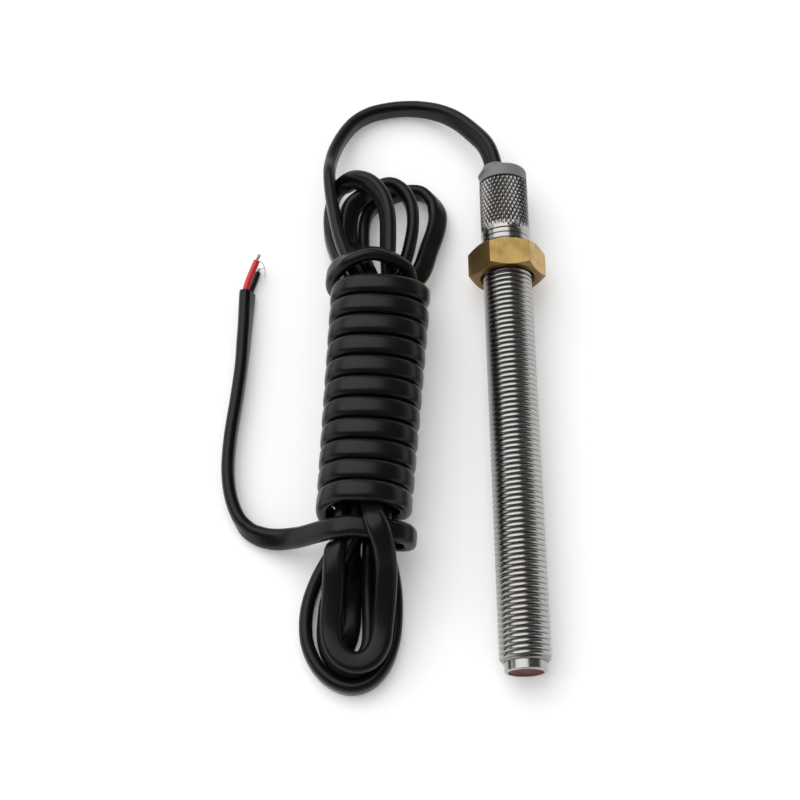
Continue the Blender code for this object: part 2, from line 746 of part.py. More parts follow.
def make_inner_cores(axis, pin_along, red, black, sleeve_black):
    """The cable's two cores, from the end of its jacket forward to the pins, each with a sleeve at its joint."""
    start, direction, _mouth = cable_line()
    jacket_end = start - direction * CABLE_RUN_INSIDE
    radius = CORE_DIAMETER / 2.0
    above_board = BOARD_THICKNESS / 2.0 - BOARD_DROP + GAP + radius
    for side, up, suffix, colour in ((-1.0, 1.0, "red", red), (1.0, -1.0, "black", black)):
        x = side * PIN_SPREAD / 2.0
        core_start = pin_along + PIN_DIAMETER / 2.0 + GAP
        sleeve_start = core_start + GAP
        sleeve_up = above_board + SLEEVE_WALL + GAP
        sleeve_end = sleeve_start + SLEEVE_LENGTH
        stations = [sleeve_end + (jacket_end.y - sleeve_end) * share for share in INNER_CORE_SHARES]
        end_up = jacket_end.z + up * CORE_SPACING / 2.0
        route = [
            (x, core_start, sleeve_up),
            (x, stations[0], sleeve_up),
            (x * 0.8, stations[1], sleeve_up * 0.43),
            (x * 0.62, stations[2], up * CORE_SPACING * 0.17),
            (x * 0.5, stations[3], up * CORE_SPACING * 0.35),
            (jacket_end.x, stations[4], end_up),
            (jacket_end.x, jacket_end.y - GAP, end_up),
        ]
        straight = [Vector(route[0])]
        curved = smooth_route(route[1:-1], ROUTE_STEP)
        make_wire("inner_core_" + suffix, straight + curved + [Vector(route[-1])], CORE_DIAMETER, colour, axis)
        sleeve = tube_profile(sleeve_start, sleeve_end, radius + GAP, radius + GAP + SLEEVE_WALL)
        sleeve_shape = make_turned("joint_sleeve_" + suffix, sleeve, sleeve_black, axis, facets=20, closed=True)
        sleeve_shape.location = (x, 0.0, sleeve_up)


def make_lead(cable_black):
    """From inside the potting, straight out of the collar, then round in an arch to the hank."""
    start, direction, mouth = cable_line()
    straight = [
        world_from_sensor(*(start - direction * CABLE_RUN_INSIDE)),
        world_from_sensor(*(start + (mouth - start) * 0.5)),
        world_from_sensor(*(mouth + direction * CABLE_STRAIGHT_OUTSIDE)),
    ]
    route = straight[:2] + smooth_route([straight[2]] + LEAD_ROUTE, ROUTE_STEP)
    return make_flat_cable("cable_lead", route, [0.0] * len(route), cable_black)


def make_tail(cable_black):
    route = smooth_route(TAIL_ROUTE, ROUTE_STEP)
    turns = []
    travelled = 0.0
    for count, place in enumerate(route):
        if count:
            travelled += (place - route[count - 1]).length
        share = min(1.0, travelled / TAIL_TURN_LENGTH)
        turns.append(TAIL_START_TURN * (1.0 - share) ** 2 * (1.0 + 2.0 * share))
    return make_flat_cable("cable_tail", route, turns, cable_black)


def make_stripped_core(suffix, points, stripped, insulation, copper):
    """A core out of the jacket's end, with its bare strands beyond."""
    route = smooth_route(points, CORE_STEP)
    length = 0.0
    for one, two in zip(route, route[1:]):
        length += (two - one).length
    covered = [route[0]]
    travelled = 0.0
    for one, two in zip(route, route[1:]):
        travelled += (two - one).length
        if travelled < length - stripped:
            covered.append(two)
    direction = (covered[-1] - covered[-2]).normalized()
    bare_start = covered[-1] + direction * GAP
    bare = [bare_start, bare_start + direction * stripped * 0.5, bare_start + direction * stripped]
    make_wire("core_" + suffix, covered, CORE_DIAMETER, insulation)
    make_wire("strands_" + suffix, bare, STRAND_BUNDLE_DIAMETER, copper)


def make_hank(cable_black):
    """Outer shape of the wound cable, skinned over rounded sections along its line."""
    bm = bmesh.new()
    rings = []
    for along, left, right, height in HANK_SECTIONS:
        ring = []
        for count in range(HANK_POINTS):
            angle = 2.0 * math.pi * count / HANK_POINTS
            side = math.copysign(abs(math.cos(angle)) ** HANK_SQUARENESS, math.cos(angle))
            rise = math.copysign(abs(math.sin(angle)) ** HANK_SQUARENESS, math.sin(angle))
            x = (left + right) / 2.0 + (right - left) / 2.0 * side
            ring.append(bm.verts.new((x, along, height / 2.0 * (1.0 + rise))))
        rings.append(ring)
    for one, two in zip(rings, rings[1:]):
        for count in range(HANK_POINTS):
            after = (count + 1) % HANK_POINTS
            bm.faces.new((one[count], one[after], two[after], two[count]))
    bm.faces.new(rings[0])
    bm.faces.new(rings[-1])
    return object_from_bmesh("cable_hank", bm, cable_black)


def main():
    clear_scene()
    steel = make_material("stainless_steel", (0.62, 0.60, 0.57), 0.28, 1.0)
    brass = make_material("brass", (0.72, 0.50, 0.20), 0.30, 1.0)
    grey = make_material("grey_potting", (0.16, 0.16, 0.17), 0.55, 0.0)
    red_epoxy = make_material("red_epoxy", (0.12, 0.01, 0.015), 0.25, 0.0)
    iron = make_material("soft_iron", (0.45, 0.44, 0.43), 0.40, 1.0)
    nylon = make_material("natural_nylon", (0.75, 0.72, 0.62), 0.50, 0.0)
    copper = make_material("copper_wire", (0.75, 0.36, 0.20), 0.30, 1.0)
    tin = make_material("tinned_strands", (0.72, 0.70, 0.68), 0.35, 1.0)
    magnet_grey = make_material("magnet_alloy", (0.30, 0.30, 0.31), 0.45, 1.0)
    board_green = make_material("board_laminate", (0.10, 0.22, 0.12), 0.50, 0.0)
    cable_black = make_material("black_pvc", (0.012, 0.012, 0.014), 0.32, 0.0)
    core_red = make_material("red_pvc", (0.65, 0.02, 0.02), 0.35, 0.0)
    core_black = make_material("core_black_pvc", (0.015, 0.015, 0.016), 0.40, 0.0)

    axis = make_sensor_axis()
    make_housing(axis, steel)
    make_lock_nut(axis, brass)
    make_rear_potting(axis, grey)
    make_face_potting(axis, red_epoxy)
    bobbin_end, plate_end = make_pickup(axis, iron, nylon, copper, magnet_grey)
    _board_start, pin_along = make_terminals(axis, plate_end, bobbin_end, board_green, tin, copper)
    make_inner_cores(axis, pin_along, core_red, core_black, core_black)

    make_lead(cable_black)
    make_hank(cable_black)
    make_tail(cable_black)
    make_stripped_core("red", RED_CORE_ROUTE, RED_CORE_STRIPPED, core_red, tin)
    make_stripped_core("black", BLACK_CORE_ROUTE, BLACK_CORE_STRIPPED, core_black, tin)


main()
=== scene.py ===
"""Magnetic speed sensor: surface finish, the whole cable, lights and the photograph's view.

Lengths are in metres. The barrel's pieces are made in the sensor's own frame: Y runs along the
barrel from the sensing tip, Z is its upper side. The cable is made in the world frame.
"""
import json
import math
import random

import bmesh
import bpy
from mathutils import Matrix, Vector


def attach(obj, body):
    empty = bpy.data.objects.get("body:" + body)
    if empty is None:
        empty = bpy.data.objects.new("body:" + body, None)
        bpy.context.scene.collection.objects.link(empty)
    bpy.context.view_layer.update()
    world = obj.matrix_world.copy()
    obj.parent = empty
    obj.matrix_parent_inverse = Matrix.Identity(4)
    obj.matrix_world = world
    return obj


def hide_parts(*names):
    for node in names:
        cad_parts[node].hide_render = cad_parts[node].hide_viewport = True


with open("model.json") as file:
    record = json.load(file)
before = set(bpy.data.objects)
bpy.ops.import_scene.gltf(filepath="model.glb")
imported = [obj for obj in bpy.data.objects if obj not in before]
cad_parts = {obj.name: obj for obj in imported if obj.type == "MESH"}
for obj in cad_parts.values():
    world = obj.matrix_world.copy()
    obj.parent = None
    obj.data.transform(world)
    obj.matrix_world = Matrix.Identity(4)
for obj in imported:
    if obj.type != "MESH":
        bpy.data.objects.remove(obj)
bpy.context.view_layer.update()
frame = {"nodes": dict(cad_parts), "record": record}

# Barrel: the sizes of the solids, with a shallower thread
THREAD_RADIUS = 0.0070
THREAD_PITCH = 0.0015
THREAD_DEPTH = 0.00045
THREAD_START = 0.0026
THREAD_END = 0.1235
THREAD_CHAMFER = 0.0009
THREAD_RUN_OUT = 1.5 * THREAD_PITCH
# One pitch of its section: share of the pitch, and share of the depth
THREAD_SECTION = (
    (0.0, 0.0), (0.17, 0.0), (0.24, 0.12), (0.43, 0.88),
    (0.50, 1.0), (0.57, 0.88), (0.76, 0.12), (0.83, 0.0),
)
THREAD_COLUMNS = 96
# How far below its crests the thread keeps the crests' colour, before its painted groove shade begins
THREAD_BRIGHT = 0.0001
NOSE_RADIUS = 0.0057
NOSE_EDGE = 0.0003
BORE_RADIUS = 0.0048
GROOVE_DEPTH = 0.0003
GROOVE_WIDTH = 0.0005
GROOVE_STEP = 0.0017
KNURL_START = 0.1282
KNURL_END = 0.1457
KNURL_RADIUS = 0.0071
KNURL_DEPTH = 0.0004
KNURL_CHAMFER = 0.0004
KNURL_DIAMONDS = 34
KNURL_DIAMOND_LENGTH = 0.0024
KNURL_BARE = 0.0006
KNURL_FADE = 0.0026
# How steep the points are: above 1 their tops are flat
KNURL_STEEPNESS = 1.4
# Corners to one diamond, both ways
KNURL_STEPS = 12
REAR_BORE_RADIUS = 0.0058
FACE_RECESS = 0.0003
FACE_DEPTH = 0.0016
# How far the resin has crept up the rim
FACE_CREEP = 0.00022

# Lock nut
NUT_START = 0.1149
NUT_END = 0.1235
NUT_HALF_FLATS = 0.00975
NUT_CHAMFER_RADIUS = 0.0096
NUT_CHAMFER_ANGLE = math.radians(30.0)
NUT_BORE_RADIUS = 0.0073
NUT_BORE_CHAMFER = 0.0007
NUT_EDGE = 0.00014
NUT_COLUMNS = 240

# Rear potting
CAP_START = 0.1460
CAP_END = 0.1500
CAP_RADIUS = 0.0070
CAP_EDGE = 0.0009
COLLAR_LENGTH = 0.0040
COLLAR_SUNK = 0.0012
COLLAR_FLARE = 0.0009
COLLAR_FOOT = 0.0004
COLLAR_TOP_RADIUS = 0.0034
COLLAR_BASE_RADIUS = 0.0042
COLLAR_EDGE = 0.0007
COLLAR_MOUTH = Vector((-0.0028, 0.1520, 0.0009))
PLUG_START = Vector((0.0, 0.1340, 0.0))

# Flat cable
CABLE_WIDTH = 0.0060
CABLE_THICKNESS = 0.0036
CABLE_STEP = 0.0013
# Short steps between two points of a route, before it is cut into even ones
CURVE_STEPS = 12
# How far its end sticks out of the collar before it bends
CABLE_EXIT = 0.0022
CORE_RADIUS = 0.00095
CORE_STEP = 0.0003
STRAND_COUNT = 7
STRAND_RADIUS = 0.000095
STRAND_STEP = 0.0002
STRAND_SPREAD = 0.00028
STRAND_TWIST = 2.2
# How far inside the core's insulation the strands start
STRAND_ROOT = 0.0006

# Where the cable runs from the barrel's cap to the hank
LEAD_ROUTE = [
    (-0.0048, 0.0836, 0.0110),
    (-0.0086, 0.0900, 0.0087),
    (-0.0130, 0.0953, 0.0069),
    (-0.0176, 0.0988, 0.0054),
    (-0.0231, 0.1011, 0.0041),
    (-0.0287, 0.1019, 0.0034),
    (-0.0343, 0.1014, 0.0031),
    (-0.0393, 0.0999, 0.0032),
    (-0.0437, 0.0969, 0.0035),
    (-0.0472, 0.0920, 0.0043),
    (-0.0502, 0.0849, 0.0058),
    (-0.0514, 0.0788, 0.0078),
    (-0.0516, 0.0742, 0.0104),
    (-0.0514, 0.0695, 0.0115),
    (-0.0508, 0.0640, 0.0119),
    (-0.0498, 0.0572, 0.0128),
    (-0.0486, 0.0506, 0.0138),
    (-0.0468, 0.0446, 0.0145),
    (-0.0446, 0.0392, 0.0149),
]

# End loops of the hank: the far ones lie past the turns on the cap's side
LOOPS = {
    "far_1": [
        (-0.0347, 0.0415, 0.0151), (-0.0346, 0.0470, 0.0152), (-0.0345, 0.0520, 0.0153),
        (-0.0347, 0.0574, 0.0156), (-0.0361, 0.0630, 0.0157), (-0.0392, 0.0676, 0.0153),
        (-0.0428, 0.0703, 0.0136), (-0.0463, 0.0715, 0.0096), (-0.0495, 0.0705, 0.0058),
        (-0.0515, 0.0650, 0.0035), (-0.0513, 0.0555, 0.0046), (-0.0488, 0.0462, 0.0078),
    ],
    "far_2": [
        (-0.0250, 0.0420, 0.0086), (-0.0224, 0.0504, 0.0066), (-0.0200, 0.0585, 0.0048),
        (-0.0194, 0.0640, 0.0038), (-0.0207, 0.0686, 0.0033), (-0.0245, 0.0718, 0.0031),
        (-0.0290, 0.0719, 0.0031), (-0.0332, 0.0706, 0.0031), (-0.0372, 0.0683, 0.0031),
        (-0.0400, 0.0653, 0.0031), (-0.0413, 0.0610, 0.0033), (-0.0416, 0.0553, 0.0042),
        (-0.0413, 0.0490, 0.0059), (-0.0402, 0.0430, 0.0079),
    ],
    "far_3": [
        (-0.0332, 0.0385, 0.0092), (-0.0302, 0.0432, 0.0094), (-0.0280, 0.0508, 0.0097),
        (-0.0270, 0.0580, 0.0095), (-0.0275, 0.0644, 0.0092), (-0.0298, 0.0690, 0.0090),
        (-0.0333, 0.0712, 0.0090), (-0.0378, 0.0701, 0.0086), (-0.0420, 0.0676, 0.0079),
        (-0.0451, 0.0639, 0.0077), (-0.0463, 0.0575, 0.0077), (-0.0456, 0.0508, 0.0086),
        (-0.0432, 0.0455, 0.0117), (-0.0407, 0.0405, 0.0147),
    ],
    "near_1": [
        (-0.0488, -0.0408, 0.0138), (-0.0499, -0.0444, 0.0151), (-0.0501, -0.0492, 0.0143),
        (-0.0506, -0.0568, 0.0114), (-0.0510, -0.0641, 0.0093), (-0.0502, -0.0686, 0.0088),
        (-0.0477, -0.0720, 0.0086), (-0.0439, -0.0732, 0.0085), (-0.0404, -0.0718, 0.0086),
        (-0.0383, -0.0684, 0.0089), (-0.0375, -0.0636, 0.0097), (-0.0367, -0.0566, 0.0122),
        (-0.0364, -0.0504, 0.0156), (-0.0368, -0.0462, 0.0192), (-0.0378, -0.0424, 0.0219),
        (-0.0392, -0.0386, 0.0225), (-0.0399, -0.0347, 0.0203), (-0.0402, -0.0305, 0.0189),
        (-0.0401, -0.0255, 0.0181), (-0.0398, -0.0200, 0.0168), (-0.0390, -0.0140, 0.0153),
    ],
    "near_2": [
        (-0.0493, -0.0408, 0.0074), (-0.0520, -0.0447, 0.0060), (-0.0549, -0.0496, 0.0043),
        (-0.0571, -0.0554, 0.0033), (-0.0579, -0.0612, 0.0031), (-0.0573, -0.0672, 0.0031),
        (-0.0544, -0.0733, 0.0031), (-0.0502, -0.0772, 0.0031), (-0.0454, -0.0786, 0.0031),
        (-0.0406, -0.0770, 0.0031), (-0.0368, -0.0726, 0.0031), (-0.0345, -0.0662, 0.0031),
        (-0.0337, -0.0594, 0.0034), (-0.0338, -0.0528, 0.0044), (-0.0349, -0.0462, 0.0063),
        (-0.0364, -0.0405, 0.0075),
    ],
    "near_3": [
        (-0.0448, -0.0415, 0.0075), (-0.0453, -0.0465, 0.0059), (-0.0458, -0.0515, 0.0044),
        (-0.0460, -0.0564, 0.0030), (-0.0461, -0.0610, 0.0024), (-0.0467, -0.0646, 0.0024),
        (-0.0473, -0.0677, 0.0029), (-0.0468, -0.0703, 0.0031), (-0.0448, -0.0712, 0.0031),
        (-0.0428, -0.0703, 0.0031), (-0.0416, -0.0680, 0.0031), (-0.0411, -0.0648, 0.0031),
        (-0.0411, -0.0608, 0.0031), (-0.0412, -0.0562, 0.0034), (-0.0412, -0.0515, 0.0043),
        (-0.0411, -0.0465, 0.0058), (-0.0409, -0.0415, 0.0075),
    ],
    "near_4": [
        (-0.0450, -0.0405, 0.0136), (-0.0463, -0.0434, 0.0126), (-0.0484, -0.0468, 0.0105),
        (-0.0504, -0.0508, 0.0078), (-0.0522, -0.0556, 0.0050), (-0.0530, -0.0608, 0.0035),
        (-0.0530, -0.0664, 0.0031), (-0.0514, -0.0710, 0.0031), (-0.0484, -0.0740, 0.0031),
        (-0.0453, -0.0749, 0.0031), (-0.0424, -0.0740, 0.0031), (-0.0396, -0.0709, 0.0031),
        (-0.0380, -0.0664, 0.0031), (-0.0374, -0.0610, 0.0034), (-0.0376, -0.0557, 0.0056),
        (-0.0378, -0.0504, 0.0093), (-0.0376, -0.0461, 0.0125), (-0.0370, -0.0415, 0.0137),
    ],
}

# From the last straight run over the hank as a loose first turn
LOOSE_TURN = [
    (-0.0310, 0.0265, 0.0150), (-0.0299, 0.0305, 0.0148), (-0.0289, 0.0336, 0.0149),
    (-0.0283, 0.0360, 0.0156), (-0.0292, 0.0382, 0.0176), (-0.0320, 0.0396, 0.0197),
    (-0.0356, 0.0406, 0.0211), (-0.0389, 0.0411, 0.0217), (-0.0424, 0.0405, 0.0217),
    (-0.0460, 0.0395, 0.0204),
]
# On from there, down its left side and under the hank to the second turn
UNDER_TURN = [
    (-0.0491, 0.0386, 0.0172), (-0.0507, 0.0382, 0.0123), (-0.0502, 0.0379, 0.0070),
    (-0.0473, 0.0373, 0.0034), (-0.0420, 0.0366, 0.0021), (-0.0340, 0.0354, 0.0021),
    (-0.0280, 0.0342, 0.0040), (-0.0248, 0.0328, 0.0088),
]
# Out of the last turn
LAST_TURN = [
    (-0.0298, -0.0403, 0.0105),
    (-0.0309, -0.0404, 0.0156),
    (-0.0346, -0.0403, 0.0183),
    (-0.0400, -0.0396, 0.0189),
    (-0.0453, -0.0390, 0.0192),
    (-0.0484, -0.0392, 0.0188),
    (-0.0511, -0.0392, 0.0171),
]
TAIL_ROUTE = [
    (-0.0538, -0.0391, 0.0147),
    (-0.0566, -0.0389, 0.0118),
    (-0.0594, -0.0387, 0.0090),
    (-0.0622, -0.0383, 0.0065),
    (-0.0656, -0.0379, 0.0046),
    (-0.0695, -0.0370, 0.0036),
    (-0.0735, -0.0349, 0.0031),
    (-0.0764, -0.0312, 0.0031),
    (-0.0786, -0.0258, 0.0031),
    (-0.0798, -0.0180, 0.0031),
    (-0.0795, -0.0080, 0.0031),
    (-0.0780, 0.0045, 0.0031),
    (-0.0770, 0.0140, 0.0031),
    (-0.0763, 0.0250, 0.0031),
    (-0.0757, 0.0383, 0.0031),
]

# How the cable's width leans along each stretch: how many points, and degrees from upright
LEANS = {
    "exit": [(3, 35.0)],
    "lead": [(2, 35.0), (1, 28.0), (1, 18.0), (1, 8.0), (14, 0.0)],
    "near_1": [(1, -15.0), (1, -60.0), (17, 90.0), (1, 60.0), (1, 30.0)],
    "far_1": [(1, 15.0), (5, 30.0), (2, 15.0), (4, 0.0)],
    "near_2": [(16, 0.0)],
    "far_2": [(4, -62.0), (1, -30.0), (9, 0.0)],
    "near_3": [(1, 0.0), (1, 35.0), (1, 70.0), (2, 90.0), (1, 75.0), (1, 40.0), (10, 0.0)],
    "far_3": [(8, 0.0), (1, 30.0), (3, 68.0), (1, 30.0), (1, 0.0)],
    "near_4": [(18, 0.0)],
    "loose_turn": [(4, 0.0), (1, -15.0), (1, -30.0), (4, -40.0)],
    "tail": [(3, 90.0), (1, 80.0), (1, 65.0), (1, 45.0), (1, 22.0), (6, 0.0), (1, -10.0), (1, -24.0)],
}

# Straight runs inside the hank: four beside each other, in a lower and an upper row
RUNS_IN_ROW = 4
RUN_SPACING = 0.0039
ROW_RISE = 0.00305
RUN_STATIONS = (0.034, 0.020, 0.006, -0.008, -0.022, -0.034)
# How far the runs have sunk inside the turns at the tail's end
RUN_DROP = 0.0008
# Middle line of the hank
HANK_AXIS_X = -0.03675
HANK_AXIS_Y = 0.0334
HANK_SLANT = 0.0817
HANK_LENGTH = 0.0740
HANK_HEIGHT_FAR = 0.0120
HANK_HEIGHT_NEAR = 0.0114

# Turns round the hank: the place along Y of each one's top, and their half width and half height
TURN_TOPS = (0.0372, 0.0311, 0.0249, 0.0187, 0.0124, 0.0062, 0.0001, -0.0061,
             -0.0123, -0.0184, -0.0245, -0.0306, -0.0402)
TURN_HALF_WIDTH_FAR = 0.01255
TURN_HALF_WIDTH_NEAR = 0.0110
TURN_HALF_HEIGHT_FAR = 0.0102
TURN_HALF_HEIGHT_NEAR = 0.0096
TURN_STEPS = 18
# Below 1 the turns are squarer than an ellipse
TURN_SQUARENESS = 0.8
# How far the last tops are pushed up by the stretch that slips under them
TURN_LIFTS = (0.0,) * 10 + (0.0009, 0.0019, 0.0)
# How much of a turn's way along the hank is made underneath
TURN_HOLD = 0.9
# Where the wound turns start before the second top and end after the last but one
TURN_LEAD_IN = math.radians(70.0)
TURN_LEAD_OUT = math.radians(225.0)

# Cores out of the stripped end
RED_CORE_ROUTE = [
    (-0.0762, 0.0381, 0.0040),
    (-0.0759, 0.0400, 0.0042),
    (-0.0753, 0.0420, 0.0045),
    (-0.0744, 0.0445, 0.0047),
    (-0.0734, 0.0471, 0.0049),
    (-0.0726, 0.0491, 0.0051),
    (-0.0718, 0.0503, 0.0052),
]
BLACK_CORE_ROUTE = [
    (-0.0752, 0.0381, 0.0018),
    (-0.0747, 0.0403, 0.0016),
    (-0.0740, 0.0426, 0.0014),
    (-0.0733, 0.0451, 0.0012),
    (-0.0729, 0.0468, 0.0011),
    (-0.0726, 0.0484, 0.0011),
]
RED_STRIPPED = 0.0029
BLACK_STRIPPED = 0.0024
# One strand of each core that has sprung loose, from the core's end
RED_STRAY = [
    (0.0, 0.0, 0.0), (0.0010, -0.0002, 0.0002), (0.0018, -0.0006, -0.0006),
    (0.0022, -0.0012, -0.0020), (0.0023, -0.0022, -0.0033), (0.0022, -0.0032, -0.0042),
]
BLACK_STRAY = [(0.0, 0.0, 0.0), (0.0008, 0.0010, 0.0002), (0.0019, 0.0015, 0.0003)]

# Camera, from the barrel's and the nut's outlines in the photograph
CAMERA_LENS = 69.41
CAMERA_ELEVATION = math.radians(66.46)
CAMERA_AZIMUTH = math.radians(2.994)
CAMERA_ROLL = math.radians(2.229)
CAMERA_TARGET = Vector((-0.03157, 0.00521, 0.0))
CAMERA_DISTANCE = 0.44185

# Light that the floor adds to its own where the camera or a reflection sees it
FLOOR_LIFT = 0.16
FLOOR_HALF = 60.0


# Frame of the sensor, from the record's mounts
mounts = {mount["name"]: mount for mount in frame["record"]["mounts"]}
ALONG = -Vector(mounts["sensing_face"]["axis"]).normalized()
SIDE = Vector((1.0, 0.0, 0.0))
TIP = Vector(mounts["sensing_face"]["pos_m"]) - ALONG * FACE_RECESS
SENSOR_AXES = Matrix((SIDE, ALONG, SIDE.cross(ALONG))).transposed()
SENSOR_FRAME = Matrix.Translation(TIP) @ SENSOR_AXES.to_4x4()
WORLD_UP = Vector((0.0, 0.0, 1.0))


def mesh_piece(name, corners, faces, material, placed=None, sharp_angle=32.0):
    """A mesh object from lists, with doubled corners joined and sharp edges kept."""
    mesh = bpy.data.meshes.new(name)
    mesh.from_pydata(corners, [], faces)
    mesh.update()
    piece = bpy.data.objects.new(name, mesh)
    bpy.context.scene.collection.objects.link(piece)
    if placed is not None:
        piece.matrix_world = placed
    tidy_mesh(mesh)
    mesh.materials.append(material)
    mesh.shade_smooth()
    mesh.set_sharp_from_angle(angle=math.radians(sharp_angle))
    return piece


def tidy_mesh(mesh):
    """Joins doubled corners, drops what has no area and turns every face outwards."""
    bm = bmesh.new()
    bm.from_mesh(mesh)
    bmesh.ops.remove_doubles(bm, verts=bm.verts, dist=1e-6)
    bmesh.ops.dissolve_degenerate(bm, dist=1e-7, edges=bm.edges)
    loose = [corner for corner in bm.verts if not corner.link_faces]
    bmesh.ops.delete(bm, geom=loose, context="VERTS")
    bmesh.ops.recalc_face_normals(bm, faces=bm.faces)
    bm.to_mesh(mesh)
    bm.free()


def polar(radius, turn, along):
    """A place round the barrel's axis; turn is a share of a full turn from its upper side."""
    angle = 2.0 * math.pi * turn
    return (radius * math.sin(angle), along, radius * math.cos(angle))


def lathe(corners, faces, profile, columns):
    """Adds a surface of revolution round Y for a profile of (along, radius)."""
    first = len(corners)
    for along, radius in profile:
        for column in range(columns):
            corners.append(polar(radius, column / columns, along))
    for ring in range(len(profile) - 1):
        here = first + ring * columns
        there = here + columns
        for column in range(columns):
            after = (column + 1) % columns
            faces.append((here + column, here + after, there + after, there + column))


def rounded_edge(end, radius, size, steps):
    """Points of a quarter round in a profile, from the outer radius to the end face."""
    points = []
    for step in range(steps + 1):
        angle = math.pi / 2.0 * (1.0 - step / steps)
        points.append((end - size + size * math.cos(angle), radius - size + size * math.sin(angle)))
    return points


# Materials


def new_material(name, metallic=0.0):
    material = bpy.data.materials.new(name)
    material.use_nodes = True
    shader = material.node_tree.nodes["Principled BSDF"]
    shader.inputs["Metallic"].default_value = metallic
    return material, shader


def add_node(material, kind, **settings):
    node = material.node_tree.nodes.new(kind)
    for key, value in settings.items():
        setattr(node, key, value)
    return node


def join(material, out_socket, in_socket):
    material.node_tree.links.new(out_socket, in_socket)


def surface_place(material, stretch=(1.0, 1.0, 1.0)):
    """Object coordinates, stretched so that a pattern follows the piece's make."""
    place = add_node(material, "ShaderNodeTexCoord")
    mapping = add_node(material, "ShaderNodeMapping")
    mapping.inputs["Scale"].default_value = stretch
    join(material, place.outputs["Object"], mapping.inputs["Vector"])
    return mapping.outputs["Vector"]


def noise(material, place, scale, detail=3.0):
    node = add_node(material, "ShaderNodeTexNoise")
    node.inputs["Scale"].default_value = scale
    node.inputs["Detail"].default_value = detail
    join(material, place, node.inputs["Vector"])
    return node.outputs["Fac"]


def remap(material, value, low, high, to_low, to_high):
    node = add_node(material, "ShaderNodeMapRange")
    node.inputs["From Min"].default_value = low
    node.inputs["From Max"].default_value = high
    node.inputs["To Min"].default_value = to_low
    node.inputs["To Max"].default_value = to_high
    join(material, value, node.inputs["Value"])
    return node.outputs["Result"]


def blend_colours(material, factor, one, two):
    """Colour from one to two; each is a colour or a socket."""
    node = add_node(material, "ShaderNodeMix", data_type="RGBA")
    join(material, factor, node.inputs["Factor"])
    colours_in = [socket for socket in node.inputs if socket.type == "RGBA"]
    colour_out = next(socket for socket in node.outputs if socket.type == "RGBA")
    for value, socket in zip((one, two), colours_in):
        if isinstance(value, tuple):
            socket.default_value = (*value, 1.0)
        else:
            join(material, value, socket)
    return colour_out


def larger(material, one, two):
    node = add_node(material, "ShaderNodeMath", operation="MAXIMUM")
    join(material, one, node.inputs[0])
    join(material, two, node.inputs[1])
    return node.outputs["Value"]


def part_along(material, place, axis):
    """One of the three numbers of a place or a direction."""
    parts = add_node(material, "ShaderNodeSeparateXYZ")
    join(material, place, parts.inputs[0])
    return parts.outputs[axis]


def add_bump(material, shader, height, strength, distance):
    bump = add_node(material, "ShaderNodeBump")
    bump.inputs["Strength"].default_value = strength
    bump.inputs["Distance"].default_value = distance
    join(material, height, bump.inputs["Height"])
    join(material, bump.outputs["Normal"], shader.inputs["Normal"])


def distance_from_axis(material):
    """How far a point of the surface lies from the barrel's axis."""
    place = add_node(material, "ShaderNodeTexCoord")
    flat = add_node(material, "ShaderNodeVectorMath", operation="MULTIPLY")
    flat.inputs[1].default_value = (1.0, 0.0, 1.0)
    join(material, place.outputs["Object"], flat.inputs[0])
    length = add_node(material, "ShaderNodeVectorMath", operation="LENGTH")
    join(material, flat.outputs["Vector"], length.inputs[0])
    return length.outputs["Value"]


def along_barrel(material):
    """How far a point of the surface lies from the tip."""
    place = add_node(material, "ShaderNodeTexCoord")
    return part_along(material, place.outputs["Object"], "Y")


def make_steel(name, root_radius, crest_radius, groove_shade_and_dirt, bare_until=None):
    """Turned stainless steel: its own colour on its crests, darkened in its grooves by painted shade
    with some dirt.

    Nearer the tip than bare_until it keeps the crest colour throughout, with no painted groove shade.
    """
    material, shader = new_material(name, metallic=1.0)
    fine = noise(material, surface_place(material, (60.0, 9000.0, 60.0)), 1.0, detail=2.0)
    cloud = noise(material, surface_place(material, (1.0, 0.6, 1.0)), 260.0)
    bright = blend_colours(material, cloud, (0.37, 0.36, 0.35), (0.46, 0.45, 0.44))
    # Painted shade with some dirt: the colour darkens from the crests down to the grooves' roots
    crest = remap(material, distance_from_axis(material), root_radius, crest_radius, 0.0, 1.0)
    if bare_until is not None:
        bare = remap(material, along_barrel(material), bare_until - 0.0001, bare_until, 1.0, 0.0)
        crest = larger(material, crest, bare)
    join(material, blend_colours(material, crest, groove_shade_and_dirt, bright), shader.inputs["Base Color"])
    join(material, remap(material, fine, 0.3, 0.7, 0.18, 0.27), shader.inputs["Roughness"])
    add_bump(material, shader, fine, 0.25, 0.00002)
    return material


def make_brass():
    """Milled brass with fine tool lines along the barrel, with painted shade that darkens and browns
    its chamfers and end faces.
    """
    material, shader = new_material("milled_brass", metallic=1.0)
    lines = noise(material, surface_place(material, (2600.0, 90.0, 2600.0)), 1.0, detail=4.0)
    cloud = noise(material, surface_place(material), 240.0, detail=4.0)
    clean = blend_colours(material, lines, (0.44, 0.285, 0.095), (0.60, 0.41, 0.15))
    spots = remap(material, cloud, 0.46, 0.72, 0.0, 0.5)
    flats = blend_colours(material, spots, clean, (0.27, 0.17, 0.065))
    # Painted shade: faces that look along the barrel, its end faces and chamfers, are darkened and
    # browned by their normal
    facing = add_node(material, "ShaderNodeTexCoord")
    upright = add_node(material, "ShaderNodeMath", operation="ABSOLUTE")
    join(material, part_along(material, facing.outputs["Normal"], "Y"), upright.inputs[0])
    end_face_shade = remap(material, upright.outputs["Value"], 0.25, 0.75, 0.0, 0.85)
    colour = blend_colours(material, end_face_shade, flats, (0.17, 0.10, 0.038))
    join(material, colour, shader.inputs["Base Color"])
    join(material, remap(material, cloud, 0.3, 0.7, 0.34, 0.46), shader.inputs["Roughness"])
    add_bump(material, shader, lines, 0.35, 0.00004)
    return material


